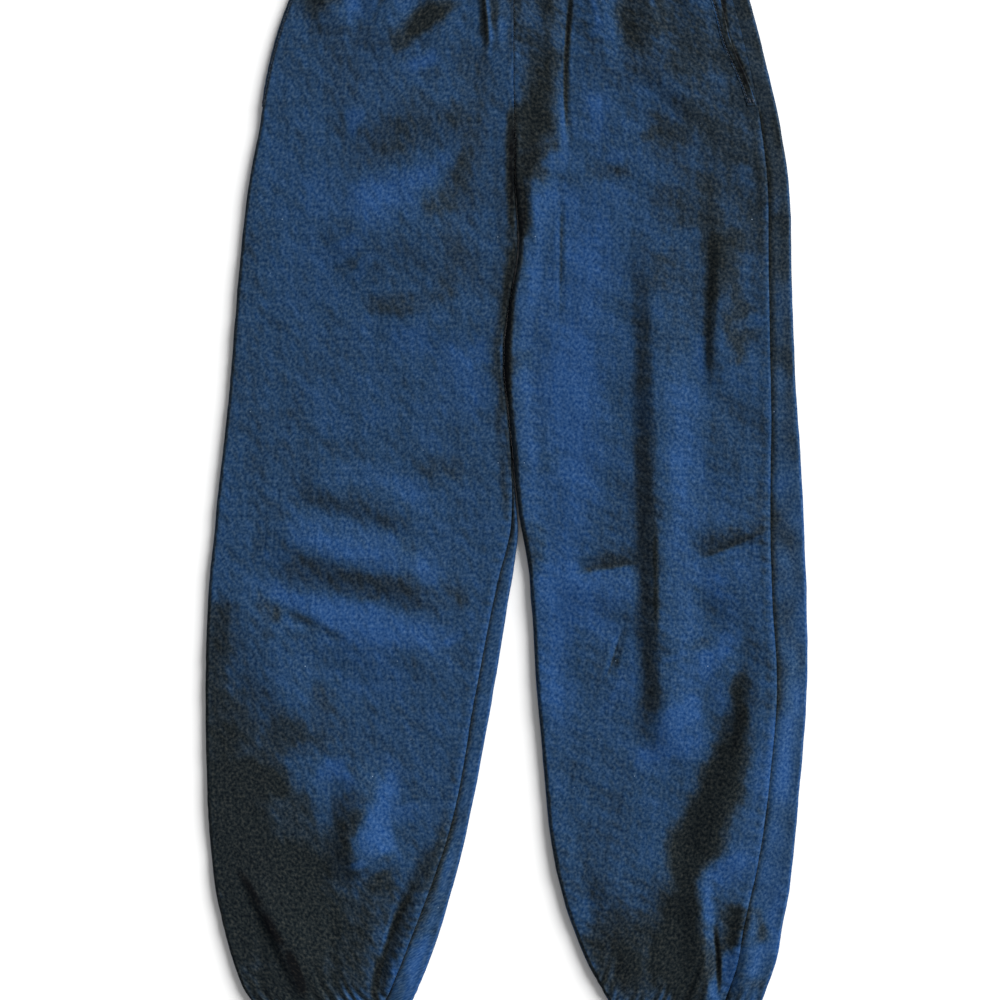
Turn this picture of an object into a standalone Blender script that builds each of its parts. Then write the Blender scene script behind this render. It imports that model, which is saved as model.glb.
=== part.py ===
"""Jogger sweatpants of brushed fleece, laid flat on a surface with the front up.

The garment lies in the XY plane: +Y points to the waist, +X to the wearer's left, +Z up.
The back panels lie on the surface at z = 0 and the front panels lie on them. Every panel is a
wall of cloth. At each station down the garment the cloth is one flat ring, which runs from the
outer edge over the top to the inner edge and back along the underside. The outseam and the
inseam cut that ring into a front and a back, a seam's gap apart. Above the crotch the rings of
the two legs open into one, joined along the centre front and centre back seams.

Lengths are metres. The tables are in millimetres, and their rows go from the waist down.
"""

import bpy
import numpy as np

MM = 0.001

# ------------------------------------------------------------------ driving dimensions
GARMENT_LENGTH = 1.070      # waist edge to hem
WAISTBAND_DEPTH = 0.0395
CROTCH_DOWN = 0.300         # waist edge to crotch point
CUFF_DEPTH = 0.045
CLOTH = 0.0022              # fleece, one layer
WAIST_WALL = 0.0038         # folded casing with its elastic
CUFF_WALL = 0.0032
SEAM_GAP = 0.0003
LEAST_REST = 0.0004         # air between the front and the back panel where they lie closest
REST_BLEND = 0.0006         # height over which a deep trough flattens out on the back panel

WAIST_RIGHT = -0.191        # side folds of the waistband
WAIST_LEFT = 0.219
WAIST_ROLL = 0.0053         # half the waistband's height, which is its fold's radius
WAIST_GATHERS = 24
WAIST_GATHER_RISE = 0.0011
WAIST_DRAW = 0.004          # how far the waist edge is drawn in at each side

CUFF_CENTRE = {"right": -0.1640, "left": 0.1700}
CUFF_TOP_WIDTH = 0.138
CUFF_HEM_WIDTH = 0.124
CUFF_ROLL = 0.0046
CUFF_GATHERS = 10
CUFF_GATHER_RISE = 0.0011

GROOVE_START = 0.180        # where the centre front begins to sink between the legs
UNDER_START = 0.262         # the same for the centre back
EDGE_REACH = 0.022          # how far in from an edge its roll fades into the loft
FOLD_CLEAR = 0.018          # how far in from an outer edge the folds have their full height
INNER_CLEAR = 0.0108        # the same for an inner edge

MOUTH_WIDTH = 0.0085        # the turned and stitched edge of a pocket mouth
MOUTH_THICK = 0.0011
MOUTH_COLUMNS = 8

PANEL_END = GARMENT_LENGTH - CUFF_DEPTH - SEAM_GAP
FINE_STEP = 0.0023          # column spacing round an edge
RUN_STEP = 0.0098           # column spacing on the flat runs
GATHER_COLUMNS = 4          # columns for each gather
GATHER_WANDER = 0.25        # how far, in gathers, their even spacing wanders
WANDER_TURNS = 1.7          # how often it does so across a band
FINE_SAMPLES = 800          # readings of the column density round a ring
NORMAL_STEP = SEAM_GAP / 6  # how far to either side a normal is read from
SHARP_ANGLE = 50            # degrees between faces from which an edge stays sharp

# ------------------------------------------------------------------ tables, millimetres
# Plan of the garment: x of the outer and inner edges of each leg. Above the crotch the two
# inner columns are the centre seam.
OUTLINE_COLUMNS = ("down", "right_outer", "right_inner", "left_inner", "left_outer")
OUTLINE = (
    (39.5, -195.0, 7.0, 7.0, 223.0),
    (79.0, -211.0, 7.0, 7.0, 235.5),
    (116.5, -222.4, 7.0, 7.0, 245.0),
    (154.0, -230.1, 7.2, 7.2, 253.8),
    (192.0, -236.0, 8.0, 8.0, 261.9),
    (229.5, -243.2, 7.8, 7.8, 267.6),
    (267.0, -249.0, 10.0, 10.0, 270.2),
    (304.5, -252.6, 11.0, 11.0, 271.0),
    (342.0, -256.0, 5.0, 5.0, 271.8),
    (380.0, -259.0, -1.0, -1.0, 273.0),
    (417.5, -262.2, -2.0, -2.0, 274.7),
    (455.0, -265.6, 1.5, 1.5, 276.8),
    (492.5, -269.6, 5.5, 5.5, 279.4),
    (530.0, -274.0, 8.4, 8.6, 281.6),
    (549.0, -275.9, 10.2, 10.8, 282.5),
    (568.0, -277.8, 11.4, 14.2, 283.4),
    (590.0, -280.0, 9.6, 18.4, 284.0),
    (605.0, -281.4, 7.0, 20.4, 284.6),
    (643.0, -284.2, 0.8, 23.6, 285.6),
    (718.0, -286.2, -11.6, 28.2, 286.0),
    (793.5, -285.4, -25.0, 34.8, 280.6),
    (868.5, -281.5, -40.6, 42.8, 273.9),
    (906.0, -277.3, -50.2, 50.2, 269.8),
    (944.0, -269.2, -61.4, 62.0, 262.8),
    (981.5, -258.8, -74.6, 77.6, 255.6),
    (1010.0, -246.6, -86.2, 93.0, 245.2),
    (1025.0, -234.5, -93.6, 101.4, 239.6),
)
# Radius of each rolled edge, and the height of the cloth between the edges.
ROLL_COLUMNS = ("down", "right_outer", "right_inner", "left_inner", "left_outer", "loft")
ROLLS = (
    (39.5, 4.6, 4.3, 4.3, 4.6, 8.4),
    (120.0, 4.3, 4.2, 4.2, 3.9, 8.3),
    (200.0, 4.3, 4.4, 4.8, 3.7, 8.3),
    (300.0, 4.3, 4.5, 5.8, 3.6, 8.3),
    (450.0, 4.3, 4.4, 5.8, 3.6, 8.3),
    (600.0, 4.2, 3.8, 4.9, 3.6, 8.3),
    (750.0, 4.1, 3.6, 4.7, 3.6, 8.3),
    (900.0, 4.1, 3.8, 4.6, 3.7, 8.4),
    (980.0, 4.2, 4.1, 4.5, 3.9, 8.6),
    (1025.0, 4.4, 4.4, 4.4, 4.4, 8.8),
)
# Where the seams lie, measured round the ring: from the outer edge for the outseams and from
# the inner edge for the inseams, above zero on the top and below zero on the underside.
SEAM_COLUMNS = ("down", "right_outseam", "right_inseam", "left_inseam", "left_outseam")
SEAMS = (
    (39.5, -5.0, 0.0, 0.0, 19.0),
    (165.0, -6.0, 0.0, 0.0, 20.0),
    (200.0, -6.0, 0.0, 0.0, 21.5),
    (300.0, -12.0, 0.0, 0.0, 24.0),
    (380.0, -14.0, 0.0, -4.0, 25.0),
    (455.0, -14.0, 0.5, -10.0, 27.5),
    (530.0, -14.0, 5.0, -16.0, 33.0),
    (605.0, -14.0, 14.0, -22.0, 35.5),
    (718.0, -14.0, 18.5, -24.0, 32.0),
    (850.0, -15.0, 18.5, -24.0, 33.5),
    (950.0, -17.0, 27.0, -25.0, 40.0),
    (1025.0, -20.0, 29.0, -26.0, 38.0),
)
# The edge of each pocket mouth, measured round the ring like the seams. The mouth leans from
# the outseam at its foot towards the front at the waist.
MOUTH_ROW_NAMES = ("down", "right", "left")
MOUTHS = (
    (39.5, -1.5, 31.0),
    (75.0, -1.8, 31.5),
    (106.0, -2.2, 31.5),
    (121.0, -2.5, 29.0),
    (135.0, -2.8, 25.5),
    (149.0, -3.0, 23.0),
    (165.5, -3.2, 21.5),
)
# Stretches between stations, and how many rows of faces each has.
STRETCH_COLUMNS = ("end", "rows")
STRETCHES = (
    (120.0, 4),      # gathers below the waistband
    (165.5, 2),      # to the foot of the pocket mouths
    (255.0, 3),      # hips
    (300.0, 3),      # into the crotch
    (345.0, 2),      # out of the crotch
    (520.0, 4),      # thighs
    (640.0, 6),      # knees
    (880.0, 7),      # calves
    (1024.7, 7),     # gathers above the cuffs
)
# Folds: a ridge (height above zero) or a trough along a line that may bow sideways. "minus" and
# "plus" are the widths of its two flanks. Walking from start to end, plus is on +X for a fold
# that runs down the garment, and towards the waist for one that runs across it from right to left.
FOLD_COLUMNS = ("x0", "down0", "x1", "down1", "bow", "minus", "plus", "height")
FOLDS = (
    # hips, from the gathers at the waistband
    (-24, 33, -14, 126, 2, 5, 9, 3.2),
    (-103, 26, -128, 121, 0, 13, 15, 2.6),
    (-172, 26, -168, 102, 0, 13, 15, 2.4),
    (-63, 26, -67, 121, 0, 11, 14, 1.6),
    (32, 21, 25, 102, 0, 9, 9, -2.4),
    (54, 68, 48, 242, 0, 17, 5.5, 3.0),
    (35, 178, 14, 301, 2, 10, 13, 4.5),
    (89, 26, 91, 140, 0, 13, 11, 2.6),
    (134, 26, 136, 121, 0, 13, 11, 2.6),
    (174, 26, 189, 130, 0, 13, 13, 1.8),
    (119, 111, 199, 180, 0, 11, 28, 3.0),
    (-163, 185, -25, 159, 0, 19, 21, 2.6),
    (-175, 309, -38, 265, 4, 30, 23, 4.8),
    (-128, 377, -8, 370, 0, 13, 25, 1.8),
    # left leg
    (137, 254, 145, 800, 2, 12, 25, 6.8),
    (150, 643, 153, 800, 0, 11, 21, 3.0),
    (205, 268, 196, 446, 0, 7, 17, 4.6),
    (172, 584, 255, 560, 0, 11, 23, 3.6),
    (47, 634, 131, 620, 0, 17, 12, 4.0),
    (184, 645, 275, 596, 0, 19, 19, 4.2),
    (264, 645, 165, 947, 6, 17, 34, 9.0),
    (181, 871, 193, 1052, 0, 13, 7, 4.6),
    (229, 909, 222, 1036, 0, 9, 11, 4.6),
    (75, 915, 174, 900, 4, 25, 25, 4.0),
    # right leg
    (-208, 520, -63, 567, 4, 13, 19, 2.6),
    (-244, 573, -42, 632, 5, 19, 21, 5.0),
    (-232, 655, -44, 693, 5, 23, 21, 3.4),
    (-274, 605, -179, 778, 3, 28, 23, 3.8),
    (-132, 786, -149, 911, 0, 16, 19, 6.4),
    (-156, 892, -101, 869, 0, 8, 17, 3.4),
    (-50, 848, -116, 1033, -6, 10, 17, 4.6),
    (-255, 886, -190, 1019, 3, 4, 27, 4.2),
)


def named(rows, columns):
    """The rows of a table as one array for each named column, in metres."""
    values = np.array(rows, float).T * MM
    return dict(zip(columns, values))


PLAN = named(OUTLINE, OUTLINE_COLUMNS)
ROLL = named(ROLLS, ROLL_COLUMNS)
SEAM = named(SEAMS, SEAM_COLUMNS)
MOUTH = named(MOUTHS, MOUTH_ROW_NAMES)
FOLD_ROWS = named(FOLDS, FOLD_COLUMNS)


def along(table, column, down):
    """A smooth curve through one column of a table, read at a distance down the garment."""
    at, value = table["down"], table[column]
    slope = np.gradient(value, at)
    down = np.clip(down, at[0], at[-1])
    i = int(np.clip(np.searchsorted(at, down) - 1, 0, len(at) - 2))
    step = at[i + 1] - at[i]
    t = (down - at[i]) / step
    return (
        (1 + 2 * t) * (1 - t) ** 2 * value[i]
        + t * (1 - t) ** 2 * step * slope[i]
        + t * t * (3 - 2 * t) * value[i + 1]
        + t * t * (t - 1) * step * slope[i + 1]
    )


def ease(t):
    """0 to 1 with level ends, as t goes from 0 to 1."""
    t = np.clip(t, 0.0, 1.0)
    return t * t * (3 - 2 * t)


def fold_height(x, down):
    """The height that all the folds add at a place. Each flank is a cosine bell across the
    fold's bowed line, and the fold rises from nothing and sinks back along it."""
    total = np.zeros_like(x)
    for k in range(len(FOLDS)):
        x0, d0, x1, d1, bow, minus, plus, height = (FOLD_ROWS[c][k] for c in FOLD_COLUMNS)
        length = np.hypot(x1 - x0, d1 - d0)
        run_x, run_d = (x1 - x0) / length, (d1 - d0) / length
        t = ((x - x0) * run_x + (down - d0) * run_d) / length
        side = (x - x0) * run_d - (down - d0) * run_x - 4 * bow * t * (1 - t)
        reach = 2 * np.where(side < 0, minus, plus)
        bell = 0.5 + 0.5 * np.cos(np.pi * np.clip(side / reach, -1, 1))
        total = total + height * bell * ease(4 * np.clip(t, 0, 1) * (1 - np.clip(t, 0, 1)))
    return total


class Ring:
    """The flat ring of cloth at one station. q is the distance round it from the outer edge,
    above zero over the top and below zero along the underside. Each kind of ring gives its own
    top_height, the height of the outer face on the top run."""

    def __init__(self, outer, inner, roll_out, roll_in, front_turn=1.0, under_turn=1.0):
        self.outer, self.inner = outer, inner
        self.side = 1.0 if inner > outer else -1.0
        self.roll_out, self.roll_in = roll_out, roll_in
        self.front_angle = front_turn * np.pi / 2
        self.under_angle = under_turn * np.pi / 2
        self.arc_out = roll_out * np.pi / 2
        width = abs(inner - outer)
        self.width = width
        self.top_run = width - roll_out - roll_in * np.sin(self.front_angle)
        self.under_run = width - roll_out - roll_in * np.sin(self.under_angle)
        self.top_length = self.arc_out + self.top_run + roll_in * self.front_angle
        self.under_length = self.arc_out + self.under_run + roll_in * self.under_angle

    def over(self, q):
        """In from the outer edge, and up, at a distance q over the top."""
        turn = np.clip(q / self.roll_out, 0, np.pi / 2)
        end = np.clip((q - self.arc_out - self.top_run) / self.roll_in, 0, np.pi / 2)
        run = np.clip(q - self.arc_out, 0, self.top_run)
        inward = self.roll_out * (1 - np.cos(turn)) + run + self.roll_in * np.sin(end)
        level = self.top_height(self.outer + self.side * (self.roll_out + run))
        up = np.where(
            q < self.arc_out,
            self.roll_out * (1 + np.sin(turn)),
            level - self.roll_in * (1 - np.cos(end)),
        )
        return inward, up

    def below(self, p):
        """The same at a distance p along the underside."""
        turn = np.clip(p / self.roll_out, 0, np.pi / 2)
        end = np.clip((p - self.arc_out - self.under_run) / self.roll_in, 0, np.pi / 2)
        run = np.clip(p - self.arc_out, 0, self.under_run)
        inward = self.roll_out * (1 - np.cos(turn)) + run + self.roll_in * np.sin(end)
        up = self.roll_out * (1 - np.sin(turn)) + self.roll_in * (1 - np.cos(end))
        return inward, up

    def points(self, q):
        """x and z of the cloth's outer face. Past an inner edge the ring goes on round it."""
        wrap_top = q > self.top_length
        wrap_under = q < -self.under_length
        over_q = np.where(wrap_under, self.top_length + q + self.under_length, q)
        under_q = np.where(wrap_top, self.under_length + self.top_length - q, -q)
        on_top = (q >= 0) & ~wrap_top | wrap_under
        top_in, top_up = self.over(np.clip(over_q, 0, self.top_length))
        low_in, low_up = self.below(np.clip(under_q, 0, self.under_length))
        inward = np.where(on_top, top_in, low_in)
        return self.outer + self.side * inward, np.where(on_top, top_up, low_up)

    def normals(self, q):
        """Unit normals of the outer face in the plane of the ring, pointing out of the cloth."""
        x1, z1 = self.points(q + NORMAL_STEP)
        x0, z0 = self.points(q - NORMAL_STEP)
        dx, dz = x1 - x0, z1 - z0
        size = np.hypot(dx, dz)
        return -self.side * dz / size, self.side * dx / size

    def density(self, q):
        """Columns for each metre: close together round the edges, further apart on the runs."""
        reach_in = self.roll_in * max(self.front_angle, self.under_angle)
        near = (
            (np.abs(q) < self.arc_out)
            | (np.abs(q - self.top_length) < reach_in)
            | (np.abs(q + self.under_length) < reach_in)
        )
        return np.where(near, 1 / FINE_STEP, 1 / RUN_STEP)

    def columns(self, start, end, count):
        """Distances from start to end with count steps, spaced by the density."""
        fine = np.linspace(start, end, FINE_SAMPLES)
        weight = self.density((fine[1:] + fine[:-1]) / 2)
        total = np.concatenate([[0], np.cumsum(weight)])
        return np.interp(np.linspace(0, total[-1], count + 1), total, fine)


class LegRing(Ring):
    """A leg's ring, or its half of the hips, read from the tables at a distance down."""

    def __init__(self, leg, down):
        below_crotch = down >= CROTCH_DOWN
        front_turn = 1.0 if below_crotch else ease(
            (down - GROOVE_START) / (CROTCH_DOWN - GROOVE_START))
        under_turn = 1.0 if below_crotch else ease(
            (down - UNDER_START) / (CROTCH_DOWN - UNDER_START))
        sign = -1.0 if leg == "right" else 1.0
        inner = along(PLAN, leg + "_inner", down) + sign * SEAM_GAP / 2
        super().__init__(
            along(PLAN, leg + "_outer", down), inner,
            along(ROLL, leg + "_outer", down), along(ROLL, leg + "_inner", down),
            front_turn, under_turn)
        self.down, self.front_turn = down, front_turn
        self.loft = along(ROLL, "loft", down)
        self.outseam = along(SEAM, leg + "_outseam", down)
        self.inseam = along(SEAM, leg + "_inseam", down) if below_crotch else 0.0

    def top_height(self, x):
        """The loft, raised or lowered to meet each rolled edge, with the folds on it. Where a
        trough would press into the back panel it lies on it instead."""
        from_outer = np.abs(x - self.outer) - self.roll_out
        from_inner = np.abs(self.inner - x) - self.roll_in * np.sin(self.front_angle)
        outer_part = 1 - ease(from_outer / EDGE_REACH)
        inner_part = 1 - ease(from_inner / EDGE_REACH)
        height = (
            self.loft
            + (2 * self.roll_out - self.loft) * outer_part
            + (2 * self.roll_in - self.loft) * inner_part
        )
        clear_inner = 1 - self.front_turn * (1 - ease(from_inner / INNER_CLEAR))
        folds = fold_height(x, np.full_like(x, self.down))
        height = height + folds * ease(from_outer / FOLD_CLEAR) * clear_inner
        least = 2 * CLOTH + LEAST_REST
        return least + REST_BLEND * np.logaddexp(0, (height - least) / REST_BLEND)


class GatheredRing(Ring):
    """A waistband or cuff: the top face carries even gathers that fade at the side folds."""

    def __init__(self, outer, inner, roll, gathers, rise):
        super().__init__(outer, inner, roll, roll)
        self.gathers, self.rise = gathers, rise
        self.outseam, self.inseam = 0.0, 0.0

    def top_height(self, x):
        """Gathers as waves whose spacing wanders a little."""
        share = np.abs(x - self.outer) / self.width
        wander = GATHER_WANDER * np.sin(2 * np.pi * WANDER_TURNS * share)
        wave = 0.5 - 0.5 * np.cos(2 * np.pi * (self.gathers * share + wander))
        inside = np.minimum(np.abs(x - self.outer), np.abs(self.inner - x)) - self.roll_out
        return 2 * self.roll_out + self.rise * wave * ease(inside / (2 * self.roll_out))

    def density(self, q):
        """Columns for each metre: close on the gathers and round the edges, few beneath."""
        on_top = (q > 0) & (q < self.top_length)
        run = np.where(on_top, GATHER_COLUMNS * self.gathers / self.width, 1 / (2 * RUN_STEP))
        near = (np.abs(q) < self.arc_out) | (np.abs(q - self.top_length) < self.arc_out)
        near = near | (np.abs(q + self.under_length) < self.arc_out)
        return np.where(near, 1 / FINE_STEP, run)


# ------------------------------------------------------------------ meshes
def cloth_material(name, colour):
    """Matt brushed fleece."""
    material = bpy.data.materials.new(name)
    material.use_nodes = True
    shader = material.node_tree.nodes["Principled BSDF"]
    shader.inputs["Base Color"].default_value = (*colour, 1.0)
    shader.inputs["Roughness"].default_value = 0.92
    shader.inputs["Metallic"].default_value = 0.0
    return material


def grid_faces(rows, columns, first, flip):
    """Quads of a grid of points whose first index is given."""
    i, j = np.meshgrid(np.arange(rows - 1), np.arange(columns - 1), indexing="ij")
    a = first + (i * columns + j).ravel()
    quads = np.stack([a, a + 1, a + columns + 1, a + columns], axis=1)
    return quads[:, ::-1] if flip else quads


def rim_faces(rows, columns):
    """Quads that close the rim between an outer grid and the inner grid that follows it. Those
    of the first column start a corner on, so that both walls of a seam fold along one diagonal."""
    index = np.arange(rows * columns).reshape(rows, columns)
    loop = np.concatenate([index[0, :-1], index[:-1, -1], index[-1, :0:-1], index[:0:-1, 0]])
    after = np.roll(loop, -1)
    inner = rows * columns
    quads = np.stack([after, loop, loop + inner, after + inner], axis=1)
    quads[1 - rows:] = np.roll(quads[1 - rows:], -1, axis=1)
    return quads


def add_wall(name, outer, inner, material):
    """One closed wall of cloth between two grids of points, as its own object."""
    rows, columns = outer.shape[:2]
    points = np.concatenate([outer.reshape(-1, 3), inner.reshape(-1, 3)])
    faces = np.concatenate([
        grid_faces(rows, columns, 0, False),
        grid_faces(rows, columns, rows * columns, True),
        rim_faces(rows, columns),
    ])
    across, down = outer[0, 1] - outer[0, 0], outer[1, 0] - outer[0, 0]
    if np.dot(np.cross(across, down), outer[0, 0] - inner[0, 0]) < 0:
        faces = faces[:, ::-1]
    mesh = bpy.data.meshes.new(name)
    mesh.from_pydata(points.tolist(), [], faces.tolist())
    mesh.validate()
    mesh.shade_smooth()
    mesh.set_sharp_from_angle(angle=np.radians(SHARP_ANGLE))
    mesh.materials.append(material)
    obj = bpy.data.objects.new(name, mesh)
    bpy.context.scene.collection.objects.link(obj)
    return obj


def row_of(ring, down, q, out):
    """3-D points of a ring at the distances q, moved out of the cloth by a distance."""
    x, z = ring.points(q)
    nx, nz = ring.normals(q)
    y = np.full_like(x, GARMENT_LENGTH / 2 - down)
    return np.stack([x + out * nx, y, z + out * nz], axis=1)


def stations():
    """Distances down of the rows of a panel."""
    ends = named(STRETCHES, STRETCH_COLUMNS)["end"]
    start = WAISTBAND_DEPTH + SEAM_GAP
    downs = [start]
    for end, (_, rows) in zip(ends, STRETCHES):
        downs += list(np.linspace(downs[-1], end, rows + 1)[1:])
    return np.array(downs)


FRONT_COLUMNS = 34
BACK_COLUMNS = 10
WAIST_COLUMNS = 124
CUFF_COLUMNS = 62
BAND_ROWS = 2


def piece_span(piece, ring):
    """Where a piece starts and ends round its ring, half a gap in from its seams. A band goes
    all the way round, from its one seam, the inseam, to the same seam."""
    half = SEAM_GAP / 2
    under_seam = half - (ring.under_length + ring.inseam)
    top_seam = ring.top_length - ring.inseam - half
    spans = {
        "front": (ring.outseam + half, top_seam),
        "back": (under_seam, ring.outseam - half),
        "band": (under_seam, top_seam),
    }
    return spans[piece]


def add_panel(leg, face, material):
    """A leg panel, from the waistband seam to the cuff seam."""
    count = FRONT_COLUMNS if face == "front" else BACK_COLUMNS
    outer, inner = [], []
    for down in stations():
        ring = LegRing(leg, down)
        q = ring.columns(*piece_span(face, ring), count)
        outer.append(row_of(ring, down, q, 0.0))
        inner.append(row_of(ring, down, q, -CLOTH))
    return add_wall(face + "_" + leg, np.array(outer), np.array(inner), material)


def add_pocket_mouth(leg, material):
    """The turned and stitched edge of a side pocket's mouth. It lies on the front panel, on
    points read between the panel's own."""
    outer, inner = [], []
    for down in stations():
        if down > MOUTH["down"][-1] + MM:
            continue
        ring = LegRing(leg, down)
        panel_q = ring.columns(*piece_span("front", ring), FRONT_COLUMNS)
        start = along(MOUTH, leg, down)
        q = np.linspace(start, start + MOUTH_WIDTH, MOUTH_COLUMNS + 1)
        for grid, out in ((inner, SEAM_GAP), (outer, SEAM_GAP + MOUTH_THICK)):
            panel_row = row_of(ring, down, panel_q, out)
            grid.append(np.stack([np.interp(q, panel_q, c) for c in panel_row.T], axis=1))
    add_wall("pocket_mouth_" + leg, np.array(outer), np.array(inner), material)


def add_band(name, rings, downs, wall, count, material):
    """A waistband or cuff: one wall right round, through a ring at each distance down."""
    outer, inner = [], []
    for ring, down in zip(rings, downs):
        q = ring.columns(*piece_span("band", ring), count)
        outer.append(row_of(ring, down, q, 0.0))
        inner.append(row_of(ring, down, q, -wall))
    add_wall(name, np.array(outer), np.array(inner), material)


def add_waistband(material):
    """The elastic waistband, sewn to a ring at the centre back."""
    downs = np.linspace(0, WAISTBAND_DEPTH, BAND_ROWS + 1)
    rings = []
    for down in downs:
        draw = WAIST_DRAW * (1 - down / WAISTBAND_DEPTH) ** 2
        ring = GatheredRing(
            WAIST_RIGHT + draw, WAIST_LEFT - draw, WAIST_ROLL, WAIST_GATHERS, WAIST_GATHER_RISE)
        ring.inseam = -ring.under_length / 2
        rings.append(ring)
    add_band("waistband", rings, downs, WAIST_WALL, WAIST_COLUMNS, material)


def add_cuff(leg, material):
    """An elastic cuff, sewn to a ring in line with the inseam."""
    sign = -1.0 if leg == "right" else 1.0
    downs = np.linspace(GARMENT_LENGTH - CUFF_DEPTH, GARMENT_LENGTH, BAND_ROWS + 1)
    rings = []
    for width in np.linspace(CUFF_TOP_WIDTH, CUFF_HEM_WIDTH, BAND_ROWS + 1):
        reach = sign * width / 2
        centre = CUFF_CENTRE[leg]
        ring = GatheredRing(
            centre + reach, centre - reach, CUFF_ROLL, CUFF_GATHERS, CUFF_GATHER_RISE)
        ring.inseam = LegRing(leg, PANEL_END).inseam
        rings.append(ring)
    add_band("cuff_" + leg, rings, downs, CUFF_WALL, CUFF_COLUMNS, material)


def main():
    """Clears the scene and makes every piece."""
    for obj in list(bpy.data.objects):
        bpy.data.objects.remove(obj)
    fleece = cloth_material("heather_navy_fleece", (0.022, 0.052, 0.110))
    casing = cloth_material("heather_navy_casing", (0.020, 0.047, 0.100))
    for leg in ("right", "left"):
        add_panel(leg, "front", fleece)
        add_panel(leg, "back", fleece)
        add_cuff(leg, casing)
        add_pocket_mouth(leg, fleece)
    add_waistband(casing)


main()
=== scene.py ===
"""Looks of the jogger sweatpants: brushed heather fleece, laid flat, seen from straight above.

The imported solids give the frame. Each leg panel, band and pocket mouth is made again here as a
finer shell on the same section: a flat ring of cloth at each distance down the garment, which
runs from the outer edge over the top to the inner edge and back along the underside. q is the
distance round that ring from the outer edge, above zero over the top.

+Y points to the waist, +X to the wearer's left, +Z up. Lengths are metres, tables millimetres.
"""

from types import SimpleNamespace

import bpy
import numpy as np
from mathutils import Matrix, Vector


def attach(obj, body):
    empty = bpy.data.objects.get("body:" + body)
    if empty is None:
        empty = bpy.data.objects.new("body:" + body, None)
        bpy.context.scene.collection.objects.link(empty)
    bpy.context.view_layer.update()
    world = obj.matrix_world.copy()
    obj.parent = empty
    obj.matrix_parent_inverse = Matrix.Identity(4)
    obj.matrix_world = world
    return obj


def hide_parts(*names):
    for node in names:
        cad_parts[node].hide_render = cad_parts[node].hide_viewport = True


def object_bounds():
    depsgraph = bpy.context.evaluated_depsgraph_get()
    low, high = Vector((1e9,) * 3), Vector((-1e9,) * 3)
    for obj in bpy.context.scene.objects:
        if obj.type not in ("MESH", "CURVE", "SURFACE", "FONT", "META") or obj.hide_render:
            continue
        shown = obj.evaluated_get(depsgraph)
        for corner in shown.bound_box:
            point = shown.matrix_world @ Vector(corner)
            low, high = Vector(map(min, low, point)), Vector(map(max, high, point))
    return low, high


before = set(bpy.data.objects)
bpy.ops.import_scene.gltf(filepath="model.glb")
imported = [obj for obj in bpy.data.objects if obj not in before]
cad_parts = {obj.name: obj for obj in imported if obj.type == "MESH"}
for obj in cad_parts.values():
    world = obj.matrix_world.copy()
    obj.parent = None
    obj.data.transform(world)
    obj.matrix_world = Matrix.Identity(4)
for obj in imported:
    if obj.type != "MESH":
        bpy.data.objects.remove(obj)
CAD_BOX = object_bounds()

MM = 0.001

# ------------------------------------------------------------------ sizes shared with the solids
GARMENT_LENGTH = CAD_BOX[1][1] - CAD_BOX[0][1]
WAISTBAND_DEPTH = 0.0395
CROTCH_DOWN = 0.300
CUFF_DEPTH = 0.045
CLOTH = 0.0022
WAIST_WALL = 0.0038
CUFF_WALL = 0.0032
SEAM_GAP = 0.0003
LEAST_REST = 0.0004
REST_BLEND = 0.0006

WAIST_RIGHT = -0.191
WAIST_LEFT = 0.219
WAIST_ROLL = 0.0053
WAIST_DRAW = 0.004
WAIST_GATHERS = 24
WAIST_GATHER_RISE = 0.0016

CUFF_CENTRE = {"right": -0.1640, "left": 0.1700}
CUFF_TOP_WIDTH = 0.138
CUFF_HEM_WIDTH = 0.124
CUFF_ROLL = 0.0046
CUFF_GATHERS = 10
CUFF_GATHER_RISE = 0.0016

GROOVE_START = 0.180
UNDER_START = 0.262
EDGE_REACH = 0.022
FOLD_CLEAR = 0.018
INNER_CLEAR = 0.0108

MOUTH_WIDTH = 0.0085
MOUTH_THICK = 0.0011
MOUTH_FOOT = 0.018          # length over which a mouth thins out to its foot
MOUTH_FLUSH = 0.0060        # how far from its joined side it thins out to the panel
MOUTH_EDGE = 0.0016         # how softly its free edge is rounded
MOUTH_STITCH_IN = 0.0068    # from its free edge to its topstitch
MOUTH_STITCH_DIP = 0.0003   # how deep the topstitch pulls it in
MOUTH_STITCH_REACH = 0.0010
MOUTH_UNDER = 0.0002        # its hidden face sinks this far into the panel's
MOUTH_LEAST = 0.25          # share of its thickness that is left where it thins out

PANEL_START = WAISTBAND_DEPTH + SEAM_GAP
PANEL_END = GARMENT_LENGTH - CUFF_DEPTH - SEAM_GAP

# ------------------------------------------------------------------ sizes of the finer forms
SEAM_DIP = 0.0008           # how far the cloth turns in at a seam
SEAM_DIP_REACH = 0.0010
PAINTED_SEAM_SHADE = 0.22           # painted shade down in a seam: how far it darkens the lie
PAINTED_SEAM_SHADE_REACH = 0.0012
SEAM_BESIDE_MOUTH = 0.12    # share of the outseam's relief that shows beside the pocket
MOUTH_FADE = 0.020          # and how far below the pocket it all shows
SEAM_AT_CENTRE = 0.15       # share of the centre seam's relief that shows at the waist
SEAM_WELT = 0.00030         # the allowance that lifts the cloth beside a seam
SEAM_WELT_AT = 0.0055
SEAM_WELT_REACH = 0.0035
PUCKER = 0.00022            # small puckers along the sewing
PUCKER_PITCH = 0.0095
END_TURN = 0.0009           # how far the ends of a panel or band turn in
PANEL_END_REACH = 0.0022
BAND_END_REACH = 0.0016
UNDER_DENT = 0.0002         # mean depth of the soft dents in the underside
HEM_GATHERS = 13
HEM_GATHER_DEPTH = 0.0016
HEM_GATHER_REACH = 0.050
HEM_SEED = 21
WAIST_PUCKERS = 26
WAIST_PUCKER_DEPTH = 0.0012
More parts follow.
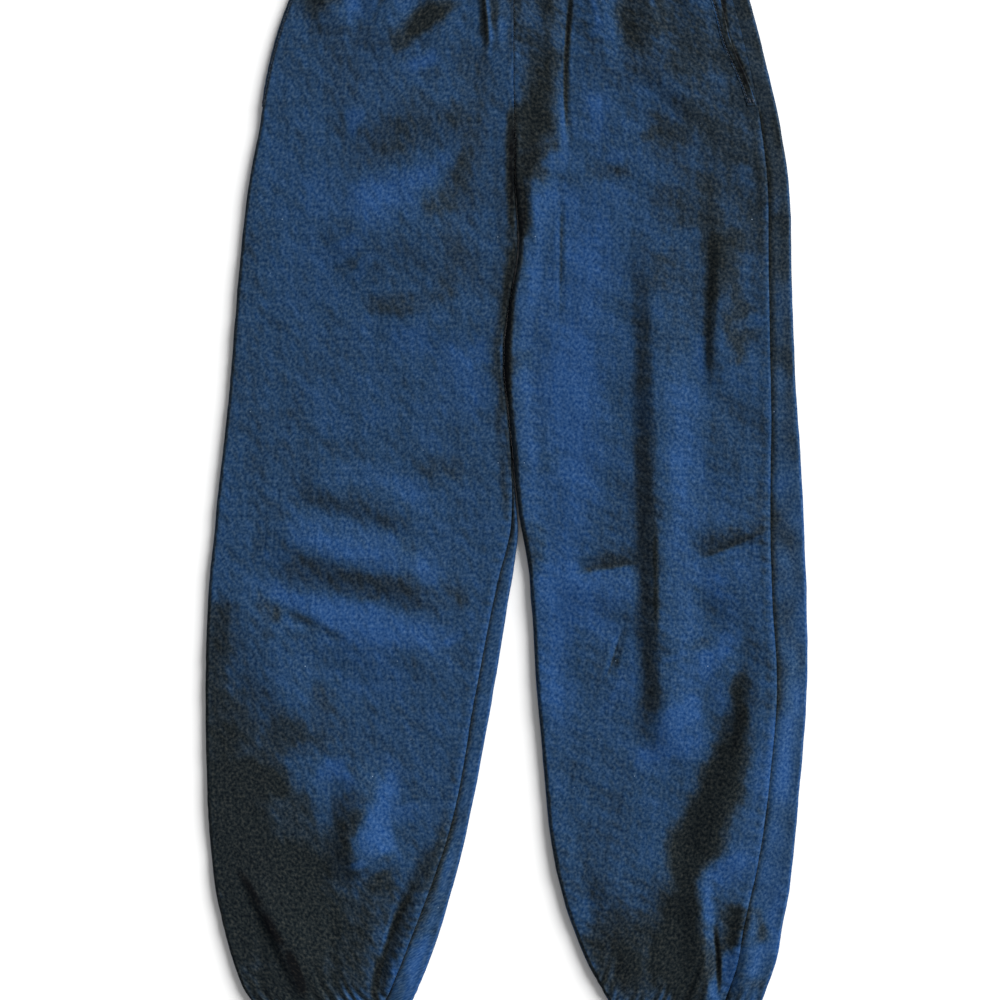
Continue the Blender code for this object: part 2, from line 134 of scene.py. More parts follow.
WAIST_PUCKER_REACH = 0.045
WAIST_SEED = 31
GATHERS_UNDER = 0.25        # share of these gathers' depth that the underside has

# Uneven ground: its size, how many waves, the longest and the shortest, and the seed. A size is
# in metres, but the gathers' is an angle and the nap's patches and small waves are its lie.
GROUND = {
    "soft": (0.00028, 16, 0.075, 0.013, 11),
    "fine": (0.00010, 14, 0.014, 0.005, 12),
    "dents": (UNDER_DENT, 8, 0.09, 0.03, 41),
    "band": (0.00022, 12, 0.030, 0.006, 61),
    "mouth": (0.00010, 8, 0.012, 0.004, 71),
    "gathers": (0.9, 6, 0.5, 0.08, 51),
    "nap patches": (0.10, 7, 0.30, 0.05, 81),
    "nap small": (0.022, 8, 0.050, 0.014, 82),
    "nap across": (0.003, 6, 0.09, 0.020, 83),
    "nap down": (0.003, 6, 0.09, 0.020, 84),
}

# ------------------------------------------------------------------ tables, millimetres
OUTLINE_COLUMNS = ("down", "right_outer", "right_inner", "left_inner", "left_outer")
OUTLINE = (
    (39.5, -195.0, 7.0, 7.0, 223.0),
    (79.0, -211.0, 7.0, 7.0, 235.5),
    (116.5, -222.4, 7.0, 7.0, 245.0),
    (154.0, -230.1, 7.2, 7.2, 253.8),
    (192.0, -236.0, 8.0, 8.0, 261.9),
    (229.5, -243.2, 7.8, 7.8, 267.6),
    (267.0, -249.0, 10.0, 10.0, 270.2),
    (304.5, -252.6, 11.0, 11.0, 271.0),
    (342.0, -256.0, 5.0, 5.0, 271.8),
    (380.0, -259.0, -1.0, -1.0, 273.0),
    (417.5, -262.2, -2.0, -2.0, 274.7),
    (455.0, -265.6, 1.5, 1.5, 276.8),
    (492.5, -269.6, 5.5, 5.5, 279.4),
    (530.0, -274.0, 8.4, 8.6, 281.6),
    (549.0, -275.9, 10.2, 10.8, 282.5),
    (568.0, -277.8, 11.4, 14.2, 283.4),
    (590.0, -280.0, 9.6, 18.4, 284.0),
    (605.0, -281.4, 7.0, 20.4, 284.6),
    (643.0, -284.2, 0.8, 23.6, 285.6),
    (718.0, -286.2, -11.6, 28.2, 286.0),
    (793.5, -285.4, -25.0, 34.8, 280.6),
    (868.5, -281.5, -40.6, 42.8, 273.9),
    (906.0, -277.3, -50.2, 50.2, 269.8),
    (944.0, -269.2, -61.4, 62.0, 262.8),
    (981.5, -258.8, -74.6, 77.6, 255.6),
    (1010.0, -246.6, -86.2, 93.0, 245.2),
    (1025.0, -234.5, -93.6, 101.4, 239.6),
)
ROLL_COLUMNS = ("down", "right_outer", "right_inner", "left_inner", "left_outer", "loft")
ROLLS = (
    (39.5, 4.6, 4.3, 4.3, 4.6, 8.4),
    (120.0, 4.3, 4.2, 4.2, 3.9, 8.3),
    (200.0, 4.3, 4.4, 4.8, 3.7, 8.3),
    (300.0, 4.3, 4.5, 5.8, 3.6, 8.3),
    (450.0, 4.3, 4.4, 5.8, 3.6, 8.3),
    (600.0, 4.2, 3.8, 4.9, 3.6, 8.3),
    (750.0, 4.1, 3.6, 4.7, 3.6, 8.3),
    (900.0, 4.1, 3.8, 4.6, 3.7, 8.4),
    (980.0, 4.2, 4.1, 4.5, 3.9, 8.6),
    (1025.0, 4.4, 4.4, 4.4, 4.4, 8.8),
)
SEAM_COLUMNS = ("down", "right_outseam", "right_inseam", "left_inseam", "left_outseam")
SEAMS = (
    (39.5, -5.0, 0.0, 0.0, 19.0),
    (165.0, -6.0, 0.0, 0.0, 20.0),
    (200.0, -6.0, 0.0, 0.0, 21.5),
    (300.0, -12.0, 0.0, 0.0, 24.0),
    (380.0, -14.0, 0.0, -4.0, 25.0),
    (455.0, -14.0, 0.5, -10.0, 27.5),
    (530.0, -14.0, 5.0, -16.0, 33.0),
    (605.0, -14.0, 14.0, -22.0, 35.5),
    (718.0, -14.0, 18.5, -24.0, 32.0),
    (850.0, -15.0, 18.5, -24.0, 33.5),
    (950.0, -17.0, 27.0, -25.0, 40.0),
    (1025.0, -20.0, 29.0, -26.0, 38.0),
)
MOUTH_COLUMNS = ("down", "right", "left")
MOUTHS = (
    (39.5, -1.5, 31.0),
    (75.0, -1.8, 31.5),
    (106.0, -2.2, 31.5),
    (121.0, -2.5, 29.0),
    (135.0, -2.8, 25.5),
    (149.0, -3.0, 23.0),
    (165.5, -3.2, 21.5),
)
# A ridge (height above zero) or trough along a line that may bow sideways: x0, down0, x1, down1,
# bow, minus, plus, height. "minus" and "plus" are the widths of its two flanks; plus is on +X of
# a fold that runs down the garment, and towards the waist of one that runs from right to left.
FOLDS = (
    # hips, from the gathers at the waistband
    (-24, 33, -14, 126, 2, 5, 9, 3.2),
    (-103, 26, -128, 121, 0, 13, 15, 2.6),
    (-172, 26, -168, 102, 0, 13, 15, 2.4),
    (-63, 26, -67, 121, 0, 11, 14, 1.6),
    (32, 21, 25, 102, 0, 9, 9, -2.4),
    (54, 68, 48, 242, 0, 17, 5.5, 3.0),
    (35, 178, 14, 301, 2, 10, 13, 4.5),
    (89, 26, 91, 140, 0, 13, 11, 2.6),
    (134, 26, 136, 121, 0, 13, 11, 2.6),
    (174, 26, 189, 130, 0, 13, 13, 1.8),
    (119, 111, 199, 180, 0, 11, 28, 3.0),
    (-163, 185, -25, 159, 0, 19, 21, 2.6),
    (-175, 309, -38, 265, 4, 30, 23, 4.8),
    (-128, 377, -8, 370, 0, 13, 25, 1.8),
    # left leg
    (137, 254, 145, 800, 2, 12, 25, 6.8),
    (150, 643, 153, 800, 0, 11, 21, 3.0),
    (205, 268, 196, 446, 0, 7, 17, 4.6),
    (172, 584, 255, 560, 0, 11, 23, 3.6),
    (47, 634, 131, 620, 0, 17, 12, 4.0),
    (184, 645, 275, 596, 0, 19, 19, 4.2),
    (264, 645, 165, 947, 6, 17, 34, 9.0),
    (181, 871, 193, 1052, 0, 13, 7, 4.6),
    (229, 909, 222, 1036, 0, 9, 11, 4.6),
    (75, 915, 174, 900, 4, 25, 25, 4.0),
    # right leg
    (-208, 520, -63, 567, 4, 13, 19, 2.6),
    (-244, 573, -42, 632, 5, 19, 21, 5.0),
    (-232, 655, -44, 693, 5, 23, 21, 3.4),
    (-274, 605, -179, 778, 3, 28, 23, 3.8),
    (-132, 786, -149, 911, 0, 16, 19, 6.4),
    (-156, 892, -101, 869, 0, 8, 17, 3.4),
    (-50, 848, -116, 1033, -6, 10, 17, 4.6),
    (-255, 886, -190, 1019, 3, 4, 27, 4.2),
)
# Finer creases on top of those folds.
CREASES = (
    (63, 35, 59, 210, -5, 8, 2.5, -2.2),
    (52, 231, 52, 382, 0, 4, 2, -0.6),
    (-17, 54, -13, 123, 1, 2.5, 4, -1.6),
    (191, 349, 190, 440, 0, 8, 2.5, -0.3),
    (57, 611, 127, 598, 0, 3, 9, -2.0),
    (174, 598, 245, 577, 0, 3, 10, -2.0),
    (111, 660, 95, 710, 0, 3, 4, -1.5),
    (-217, 643, -152, 677, 0, 5.5, 4, -1.3),
    (-98, 911, -126, 1025, -3, 3, 5.5, -2.0),
    (195, 940, 199, 1014, 2, 7, 2.5, -2.2),
    (227, 923, 217, 1004, 3, 7, 2.5, -0.5),
    (-236, 903, -232, 1023, 0, 4, 5, -0.8),
    (-168, 919, -164, 1023, 0, 5, 5.5, -1.0),
    (98, 947, 110, 1023, 0, 5, 5.5, -0.8),
    (136, 938, 136, 1023, 0, 5, 5.5, -0.8),
)

# Soft strokes of painted light and shade, laid out as the folds are: a strength above zero paints
# the cloth lighter and bluer as if lit, below zero paints it darker and charcoal as if in shade.
LIGHT_AND_SHADE_STROKES = (
    # right leg
    (-113, 115, -38, 62, 0, 5, 10, -0.6),
    (-103, 130, -63, 109, 0, 8, 4, 0.42),
    (-137, 41, -137, 86, 0, 10, 10, 0.3),
    (-196, 41, -168, 77, 0, 11, 11, -0.3),
    (-164, 45, -149, 73, 0, 11, 11, -0.26),
    (-33, 73, -33, 273, 0, 15, 15, -0.22),
    (-147, 214, -31, 174, 0, 7, 13, -0.2),
    (-34, 195, -52, 254, 0, 5.5, 8, -0.24),
    (-160, 267, -52, 221, 0, 19, 15, 0.42),
    (-73, 225, -37, 191, 0, 10, 8, 0.24),
    (-82, 267, -50, 246, 0, 13, 13, -0.26),
    (-97, 100, -42, 67, 0, 11, 13, -0.16),
    (-105, 155, -63, 166, 0, 11, 11, -0.2),
    (-71, 330, -46, 345, 0, 13, 11, -0.18),
    (-162, 288, -147, 311, 0, 19, 15, 0.3),
    (-175, 339, -170, 444, 0, 21, 19, -0.08),
    (-143, 314, -128, 322, 0, 17, 13, 0.24),
    (-156, 181, -139, 187, 0, 13, 11, 0.44),
    (-204, 244, -147, 240, 0, 17, 15, 0.14),
    (-230, 102, -242, 387, 0, 17, 17, -0.11),
    (-67, 225, -35, 349, 0, 15, 17, -0.14),
    (-149, 360, -57, 356, 0, 5.5, 11, -0.22),
    (-59, 370, -23, 463, 0, 19, 13, 0.34),
    (-116, 387, -63, 385, 0, 10, 11, 0.3),
    (-99, 508, -25, 516, 0, 12, 12, -0.22),
    (-113, 523, -73, 537, 0, 8, 8, 0.16),
    (-206, 491, -82, 493, 0, 13, 13, -0.08),
    (-168, 531, -86, 561, 3, 11, 10, -0.13),
    (-227, 567, -97, 611, 3, 10, 11, 0.34),
    (-168, 603, -42, 645, 3, 9, 10, -0.2),
    (-143, 634, -118, 639, 0, 5, 5, -0.22),
    (-90, 601, -63, 617, 0, 7, 7, 0.2),
    (-105, 582, -78, 592, 0, 8, 8, -0.24),
    (-228, 624, -181, 647, 0, 8, 8, 0.42),
    (-232, 584, -204, 599, 0, 9, 8, 0.2),
    (-59, 607, -42, 645, 0, 10, 9, -0.24),
    (-57, 668, -42, 675, 0, 8, 8, 0.3),
    (-228, 649, -208, 653, 0, 7, 7, -0.26),
    (-223, 636, -42, 681, 4, 12, 11, 0.36),
    (-204, 658, -92, 691, 0, 17, 14, 0.3),
    (-181, 698, -82, 719, 0, 15, 15, 0.22),
    (-213, 645, -152, 677, 0, 7, 5, -0.24),
    (-280, 624, -278, 748, 0, 10, 15, -0.4),
    (-282, 691, -263, 1023, 6, 17, 27, -0.78),
    (-238, 734, -153, 769, -4, 17, 11, -0.24),
    (-239, 795, -204, 824, 0, 13, 11, -0.3),
    (-185, 795, -147, 800, 0, 10, 10, 0.48),
    (-219, 820, -175, 837, 0, 15, 13, -0.4),
    (-246, 778, -211, 829, 0, 17, 15, -0.52),
    (-246, 637, -211, 656, 0, 12, 11, -0.34),
    (-232, 814, -219, 1033, 0, 25, 27, -0.64),
    (-194, 835, -175, 1042, 0, 26, 23, -0.8),
    (-179, 930, -171, 966, 0, 17, 15, -0.24),
    (-187, 725, -152, 732, 0, 11, 11, -0.26),
    (-238, 765, -202, 776, 0, 11, 11, -0.26),
    (-109, 778, -132, 892, 0, 13, 13, 0.32),
    (-137, 829, -141, 858, 0, 7, 5.5, -0.44),
    (-149, 883, -141, 894, 0, 8, 8, 0.42),
    (-152, 799, -149, 814, 0, 5.5, 5.5, 0.3),
    (-97, 824, -90, 848, 0, 9, 9, 0.28),
    (-116, 873, -107, 881, 0, 7, 7, -0.26),
    (-126, 788, -133, 835, 0, 8, 8, -0.36),
    (-52, 829, -63, 883, 0, 9, 9, -0.3),
    (-114, 903, -109, 947, 0, 8, 8, -0.25),
    (-162, 909, -154, 957, 0, 11, 11, -0.28),
    (-154, 838, -152, 877, 0, 8, 5.5, -0.35),
    (-141, 907, -109, 896, 0, 9, 5, -0.55),
    (-128, 900, -147, 1014, 0, 12, 12, -0.5),
    (-67, 864, -132, 1040, -10, 5.5, 5.5, -0.12),
    (-52, 848, -82, 966, 0, 10, 9, -0.42),
    (-107, 974, -111, 1006, 0, 5.5, 5, 0.34),
    (-73, 947, -97, 1047, -2, 8, 10, 0.35),
    (-59, 915, -71, 947, 0, 8, 5.5, 0.36),
    (-257, 888, -232, 930, 2, 5, 5, -0.5),
    (-232, 930, -191, 1012, 3, 5, 5, -0.5),
    (-261, 1004, -153, 1008, 0, 13, 11, -0.75),
    (-272, 892, -253, 998, 4, 5, 9, -0.26),
    # left leg
    (37, 102, 26, 216, 2, 16, 11, -0.6),
    (43, 54, 47, 111, 0, 10, 10, -0.4),
    (49, 96, 53, 174, 0, 9, 9, -0.32),
    (-1, 176, 22, 170, 0, 9, 8, -0.26),
    (17, 159, 20, 206, 0, 9, 8, -0.26),
    (32, 197, 45, 216, 0, 10, 10, -0.4),
    (146, 48, 148, 104, 0, 11, 11, -0.44),
    (-17, 48, -14, 98, 0, 8, 8, -0.4),
    (-82, 90, -58, 71, 0, 10, 10, -0.2),
    (161, 107, 193, 151, 0, 17, 15, -0.12),
    (233, 41, 250, 143, 0, 10, 10, -0.28),
    (220, 45, 228, 86, 0, 9, 9, -0.3),
    (127, 185, 134, 199, 0, 11, 11, -0.24),
    (89, 124, 184, 119, 0, 25, 25, -0.18),
    (9, 183, 37, 250, 0, 11, 11, -0.3),
    (9, 288, 13, 335, 0, 8, 8, -0.3),
    (24, 206, 16, 246, 0, 9, 7, -0.4),
    (7, 170, 10, 301, 2, 5.5, 5, -0.3),
    (-1, 301, -6, 520, -2, 5.5, 4, -0.2),
    (-2, 499, 17, 615, -2, 5.5, 4, -0.2),
    (117, 35, 119, 123, 0, 13, 12, -0.4),
    (82, 41, 84, 105, 0, 5.5, 5.5, 0.35),
    (13, 26, 19, 130, 0, 15, 15, -0.3),
    (115, 128, 188, 187, 3, 10, 9, 0.16),
    (127, 185, 184, 199, 0, 23, 19, -0.3),
    (153, 142, 209, 206, 0, 8, 12, -0.26),
    (157, 216, 184, 288, 0, 21, 19, -0.38),
    (207, 275, 220, 332, 0, 12, 10, -0.36),
    (224, 360, 233, 381, 0, 10, 9, 0.34),
    (224, 216, 237, 257, 0, 13, 11, 0.26),
    (146, 307, 148, 341, 0, 10, 10, -0.2),
    (132, 218, 199, 278, 3, 10, 9, 0.2),
    (224, 7, 256, 358, 0, 38, 42, -0.32),
    (174, 64, 190, 149, 0, 21, 19, -0.16),
    (184, 227, 201, 295, 0, 9, 9, -0.24),
    (241, 254, 250, 269, 0, 10, 9, 0.28),
    (254, 121, 266, 263, 0, 11, 10, -0.25),
    (89, 147, 87, 199, 0, 10, 10, 0.3),
    (66, 244, 62, 596, 0, 34, 30, 0.34),
    (57, 238, 55, 280, 0, 10, 10, 0.22),
    (77, 267, 89, 332, 0, 19, 15, 0.18),
    (62, 358, 60, 558, 0, 19, 17, 0.26),
    (43, 482, 47, 529, 0, 10, 10, -0.3),
    (172, 510, 178, 558, 0, 8, 8, -0.26),
    (57, 250, 108, 278, 0, 17, 17, 0.14),
    (64, 231, 119, 229, 0, 8, 7, -0.2),
    (89, 212, 104, 219, 0, 8, 7, 0.28),
    (95, 250, 95, 307, 0, 11, 11, 0.1),
    (119, 268, 142, 349, 0, 13, 13, -0.1),
    (124, 320, 132, 729, 3, 10, 8, -0.05),
    (130, 425, 132, 482, 0, 8, 7, 0.24),
    (134, 672, 135, 751, 0, 7, 5.5, -0.16),
    (169, 729, 159, 786, 0, 15, 13, 0.22),
    (115, 789, 174, 776, 0, 5.5, 5.5, 0.26),
    (167, 453, 169, 605, 0, 12, 13, 0.18),
    (165, 278, 176, 444, 0, 21, 19, -0.3),
    (202, 280, 191, 358, 2, 8, 9, -0.38),
    (190, 381, 186, 434, 0, 5.5, 5.5, 0.34),
    (216, 313, 219, 417, 0, 10, 10, -0.5),
    (219, 387, 220, 411, 0, 10, 10, -0.28),
    (190, 430, 239, 533, 0, 19, 25, -0.18),
    (264, 301, 271, 539, 0, 12, 10, -0.24),
    (250, 713, 266, 748, 0, 13, 11, -0.26),
    (260, 510, 261, 541, 0, 8, 8, 0.3),
    (252, 539, 260, 624, 0, 13, 11, -0.26),
    (243, 503, 269, 558, 0, 15, 13, -0.16),
    (260, 624, 264, 738, 0, 10, 10, -0.2),
    (260, 244, 266, 349, 0, 10, 10, -0.2),
    (184, 590, 271, 546, 2, 8, 11, -0.24),
    (64, 602, 127, 598, 0, 7, 9, -0.2),
    (38, 637, 123, 643, 0, 23, 21, 0.42),
    (43, 539, 51, 786, 0, 14, 13, 0.36),
    (24, 546, 32, 622, 0, 9, 7, -0.24),
    (11, 394, 13, 430, 0, 7, 7, -0.3),
    (32, 223, 41, 254, 0, 9, 8, -0.26),
    (-21, 381, -18, 413, 0, 9, 8, 0.3),
    (62, 510, 66, 672, 0, 14, 13, 0.24),
    (199, 596, 197, 637, 0, 13, 13, 0.44),
    (89, 672, 87, 719, 0, 9, 9, -0.06),
    (98, 719, 108, 725, 0, 12, 11, 0.16),
    (220, 656, 178, 719, 0, 10, 8, 0.46),
    (184, 710, 148, 776, 0, 11, 9, 0.34),
    (205, 622, 209, 664, 0, 10, 10, 0.34),
    (153, 767, 133, 789, 0, 9, 8, 0.3),
    (136, 788, 207, 769, 0, 11, 10, 0.34),
    (93, 706, 131, 729, 0, 23, 21, 0.16),
    (64, 609, 79, 607, 0, 8, 9, -0.26),
    (229, 527, 241, 550, 0, 13, 13, -0.24),
    (170, 835, 169, 900, 0, 11, 13, -0.28),
    (228, 694, 218, 765, 0, 5.5, 5.5, -0.46),
    (203, 698, 203, 750, 0, 10, 10, 0.28),
    (161, 685, 165, 694, 0, 9, 9, 0.24),
    (191, 624, 195, 645, 0, 10, 10, 0.2),
    (187, 666, 186, 687, 0, 8, 8, -0.26),
    (150, 723, 144, 776, 0, 8, 7, 0.32),
    (220, 755, 161, 913, 4, 19, 14, -0.85),
    (228, 776, 212, 850, 0, 9, 8, -0.28),
    (163, 871, 174, 1052, 0, 15, 11, -0.9),
    (260, 719, 248, 858, 0, 14, 12, 0.25),
    (271, 491, 273, 824, 0, 9, 5.5, -0.25),
    (193, 902, 228, 875, 0, 13, 13, 0.5),
    (188, 934, 191, 1017, 0, 8, 5.5, -0.46),
    (199, 953, 196, 1004, 0, 8, 7, -0.5),
    (205, 971, 220, 917, 0, 10, 9, -0.6),
    (51, 843, 79, 923, 0, 32, 38, -0.1),
    (77, 987, 174, 966, 0, 30, 38, -0.62),
    (72, 947, 91, 1014, 0, 10, 10, -0.48),
    (243, 843, 256, 921, 0, 15, 13, 0.14),
    (216, 867, 224, 892, 0, 11, 11, 0.3),
    (256, 903, 264, 936, 0, 9, 8, 0.34),
    (238, 921, 238, 962, 0, 8, 8, -0.46),
    (229, 993, 245, 1000, 0, 8, 7, -0.34),
    (219, 942, 214, 1006, 0, 7, 5.5, 0.56),
    (260, 919, 248, 983, 0, 8, 9, 0.34),
    (218, 957, 216, 1006, 0, 5, 5, 0.3),
    (233, 947, 245, 960, 0, 8, 8, -0.22),
)
# Painted shade: thin dark lines at the foot of the sharpest creases, laid out as the strokes are.
PAINTED_CREASE_SHADE = (
    # painted shade in creases where no light comes
    (199, 10, 210, 107, 0, 2, 2, -1.1),
    (209, 98, 232, 156, 1, 2, 2, -1.1),
    (6, 159, 8, 301, -2, 4, 4, -0.9),
    (12, 230, 14, 301, 3, 3, 3, -0.7),
    (6, 292, 0, 463, -2, 4, 3.5, -1.0),
    (11, 275, 5, 341, 0, 2, 2, -0.6),
    (-1, 425, 11, 561, -1, 2.5, 2, -0.7),
    (-22, 54, -16, 115, -1, 1.5, 1.5, -0.5),
    (63, 50, 59, 210, -5, 1.5, 1.5, -1.0),
    (52, 254, 51, 381, 0, 1, 1, -0.5),
    (196, 301, 190, 438, -1, 1.5, 1.5, -0.14),
    (60, 611, 127, 599, 0, 1.5, 4, -0.3),
    (178, 598, 256, 565, 0, 1.5, 4, -0.3),
    (110, 664, 95, 710, 0, 1, 1, -0.3),
    (140, 548, 141, 672, 0, 1.5, 3, -0.4),
    (-257, 888, -230, 932, 2, 3, 3, -0.6),
    (-232, 926, -209, 966, -2, 3, 4, -0.8),
    (-211, 960, -190, 1016, 2, 4, 4, -0.9),
    (-78, 892, -130, 1025, -8, 2.5, 2.5, -0.4),
    (-120, 966, -128, 1028, 0, 2.5, 3, -0.7),
    (197, 941, 201, 1014, 2, 1.5, 1.5, -0.55),
    (225, 729, 214, 786, 0, 4, 4, -0.3),
)


def named(rows, columns):
    """The rows of a table as one array for each named column, in metres."""
    return dict(zip(columns, np.array(rows, float).T * MM))


PLAN = named(OUTLINE, OUTLINE_COLUMNS)
ROLL = named(ROLLS, ROLL_COLUMNS)
SEAM = named(SEAMS, SEAM_COLUMNS)
MOUTH = named(MOUTHS, MOUTH_COLUMNS)
MOUTH_END = MOUTH["down"][-1]


# ------------------------------------------------------------------ curves and folds
def along(table, column, down):
    """A smooth curve through one column of a table: cubic Hermite pieces whose slopes are the
    column's own gradient."""
    at, value = table["down"], table[column]
    slope = np.gradient(value, at)
    down = np.clip(down, at[0], at[-1])
    i = np.clip(np.searchsorted(at, down) - 1, 0, len(at) - 2)
    step = at[i + 1] - at[i]
    t = (down - at[i]) / step
    return (
        (1 + 2 * t) * (1 - t) ** 2 * value[i]
        + t * (1 - t) ** 2 * step * slope[i]
        + t * t * (3 - 2 * t) * value[i + 1]
        + t * t * (t - 1) * step * slope[i + 1]
    )


def ease(t):
    """0 to 1 with level ends: t*t*(3 - 2t)."""
    t = np.clip(t, 0.0, 1.0)
    return t * t * (3 - 2 * t)


def rising(low, t):
    """low at t = 0, in a straight line to 1 at t = 1."""
    return low + (1 - low) * t


def bell(t):
    """1 at t = 0, falling to 0 at t = 1 and -1: (1 + cos(pi t)) / 2."""
    return 0.5 + 0.5 * np.cos(np.pi * np.clip(t, -1, 1))


def bump_at(distance, reach):
    """A soft bump: exp(-(distance / reach)^2)."""
    return np.exp(-((distance / reach) ** 2))


def fold_height(rows, x, down):
    """The height that a table's folds add at each place: a bell across each bowed line, eased
    in and out along it."""
    total = np.zeros(np.broadcast(x, down).shape)
    for x0, d0, x1, d1, bow, minus, plus, height in np.array(rows, float) * MM:
        length = np.hypot(x1 - x0, d1 - d0)
        run_x, run_d = (x1 - x0) / length, (d1 - d0) / length
        t = ((x - x0) * run_x + (down - d0) * run_d) / length
        side = (x - x0) * run_d - (down - d0) * run_x - 4 * bow * t * (1 - t)
        reach = 2 * np.where(side < 0, minus, plus)
        t = np.clip(t, 0, 1)
        total += height * bell(side / reach) * ease(4 * t * (1 - t))
    return total


def waves(x, y, count, longest, shortest, seed):
    """Uneven ground of mean zero and about unit height: sine waves of falling length in random
    directions, their heights in proportion to their lengths."""
    rng = np.random.default_rng(seed)
    total = np.zeros(np.broadcast(x, y).shape)
    power = 0.0
    for length in np.geomspace(longest, shortest, count):
        angle, phase = rng.uniform(0, 2 * np.pi, 2)
        share = length / longest
        turn = 2 * np.pi / length
        total += share * np.sin(turn * (x * np.cos(angle) + y * np.sin(angle)) + phase)
        power += share * share / 2
    return total / np.sqrt(power)


def ground(kind, x, y):
    """The uneven ground of one kind, at its own size."""
    size, *shape = GROUND[kind]
    return size * waves(x, y, *shape)


def upper(normal_z):
    """1 on the upper side, falling to 0 where the cloth rolls under."""
    return np.clip(1.5 * normal_z + 0.2, 0, 1)


# ------------------------------------------------------------------ the ring of cloth
def leg_ring(leg, down):
    """The sizes of a leg's ring at each distance down, as one column of rows."""
    down = np.asarray(down, float)[:, None]
    below = down >= CROTCH_DOWN
    front_turn = np.where(below, 1.0, ease((down - GROOVE_START) / (CROTCH_DOWN - GROOVE_START)))
    under_turn = np.where(below, 1.0, ease((down - UNDER_START) / (CROTCH_DOWN - UNDER_START)))
    sign = -1.0 if leg == "right" else 1.0
    ring = SimpleNamespace(
        down=down, side=-sign,
        outer=along(PLAN, leg + "_outer", down),
        inner=along(PLAN, leg + "_inner", down) + sign * SEAM_GAP / 2,
        roll_out=along(ROLL, leg + "_outer", down),
        roll_in=along(ROLL, leg + "_inner", down),
        front_turn=front_turn, under_turn=under_turn,
        loft=along(ROLL, "loft", down),
        outseam=along(SEAM, leg + "_outseam", down),
        inseam=np.where(below, along(SEAM, leg + "_inseam", down), 0.0),
    )
    ring.height = lambda x: leg_height(ring, x)
    return measured(ring)


def measured(ring):
    """Adds the lengths round a ring that follow from its edges and rolls."""
    ring.front_angle = ring.front_turn * np.pi / 2
    ring.under_angle = ring.under_turn * np.pi / 2
    ring.arc_out = ring.roll_out * np.pi / 2
    width = np.abs(ring.inner - ring.outer)
    ring.top_run = width - ring.roll_out - ring.roll_in * np.sin(ring.front_angle)
    ring.under_run = width - ring.roll_out - ring.roll_in * np.sin(ring.under_angle)
    ring.top_length = ring.arc_out + ring.top_run + ring.roll_in * ring.front_angle
    ring.under_length = ring.arc_out + ring.under_run + ring.roll_in * ring.under_angle
    return ring


def leg_height(ring, x):
    """Height of the cloth between the edges: the loft, led to each rolled edge, with the folds
    and creases, and laid softly on the back panel where a trough would press into it."""
    from_outer = np.abs(x - ring.outer) - ring.roll_out
    from_inner = np.abs(ring.inner - x) - ring.roll_in * np.sin(ring.front_angle)
    height = (
        ring.loft
        + (2 * ring.roll_out - ring.loft) * (1 - ease(from_outer / EDGE_REACH))
        + (2 * ring.roll_in - ring.loft) * (1 - ease(from_inner / EDGE_REACH))
    )
    clear = ease(from_outer / FOLD_CLEAR)
    clear = clear * (1 - ring.front_turn * (1 - ease(from_inner / INNER_CLEAR)))
    folds = fold_height(FOLDS, x, ring.down) + fold_height(CREASES, x, ring.down)
    height = height + folds * clear
    least = 2 * CLOTH + LEAST_REST
    return least + REST_BLEND * np.logaddexp(0, (height - least) / REST_BLEND)


def ring_points(ring, q):
    """x and z of the outer face at the distances q. The roll at the outer edge is an arc of
    roll_out, then the run follows the height, then an arc of roll_in ends at the inner edge."""
    wrap_top = q > ring.top_length
    wrap_under = q < -ring.under_length
    over_q = np.where(wrap_under, ring.top_length + q + ring.under_length, q)
    under_q = np.where(wrap_top, ring.under_length + ring.top_length - q, -q)
    on_top = (q >= 0) & ~wrap_top | wrap_under
    over_q = np.clip(over_q, 0, ring.top_length)
    under_q = np.clip(under_q, 0, ring.under_length)

    def inward(distance, run_length):
        """Angles turned at the outer and the inner roll, and how far in from the edge."""
        turn = np.clip(distance / ring.roll_out, 0, np.pi / 2)
        end = (distance - ring.arc_out - run_length) / ring.roll_in
        end = np.clip(end, 0, np.pi / 2)
        run = np.clip(distance - ring.arc_out, 0, run_length)
        return turn, end, ring.roll_out * (1 - np.cos(turn)) + run + ring.roll_in * np.sin(end)

    turn, end, top_in = inward(over_q, ring.top_run)
    run = np.clip(over_q - ring.arc_out, 0, ring.top_run)
    level = ring.height(ring.outer + ring.side * (ring.roll_out + run))
    top_up = np.where(
        over_q < ring.arc_out,
        ring.roll_out * (1 + np.sin(turn)),
        level - ring.roll_in * (1 - np.cos(end)),
    )
    turn, end, low_in = inward(under_q, ring.under_run)
    low_up = ring.roll_out * (1 - np.sin(turn)) + ring.roll_in * (1 - np.cos(end))
    x = ring.outer + ring.side * np.where(on_top, top_in, low_in)
    return x, np.where(on_top, top_up, low_up)


NORMAL_STEP = 0.00005       # round the ring


def ring_normals(ring, q):
    """Unit normals in the plane of the ring, pointing out of the cloth."""
    x1, z1 = ring_points(ring, q + NORMAL_STEP)
    x0, z0 = ring_points(ring, q - NORMAL_STEP)
    size = np.hypot(x1 - x0, z1 - z0)
    return -ring.side * (z1 - z0) / size, ring.side * (x1 - x0) / size


SPACING_SAMPLES = 600


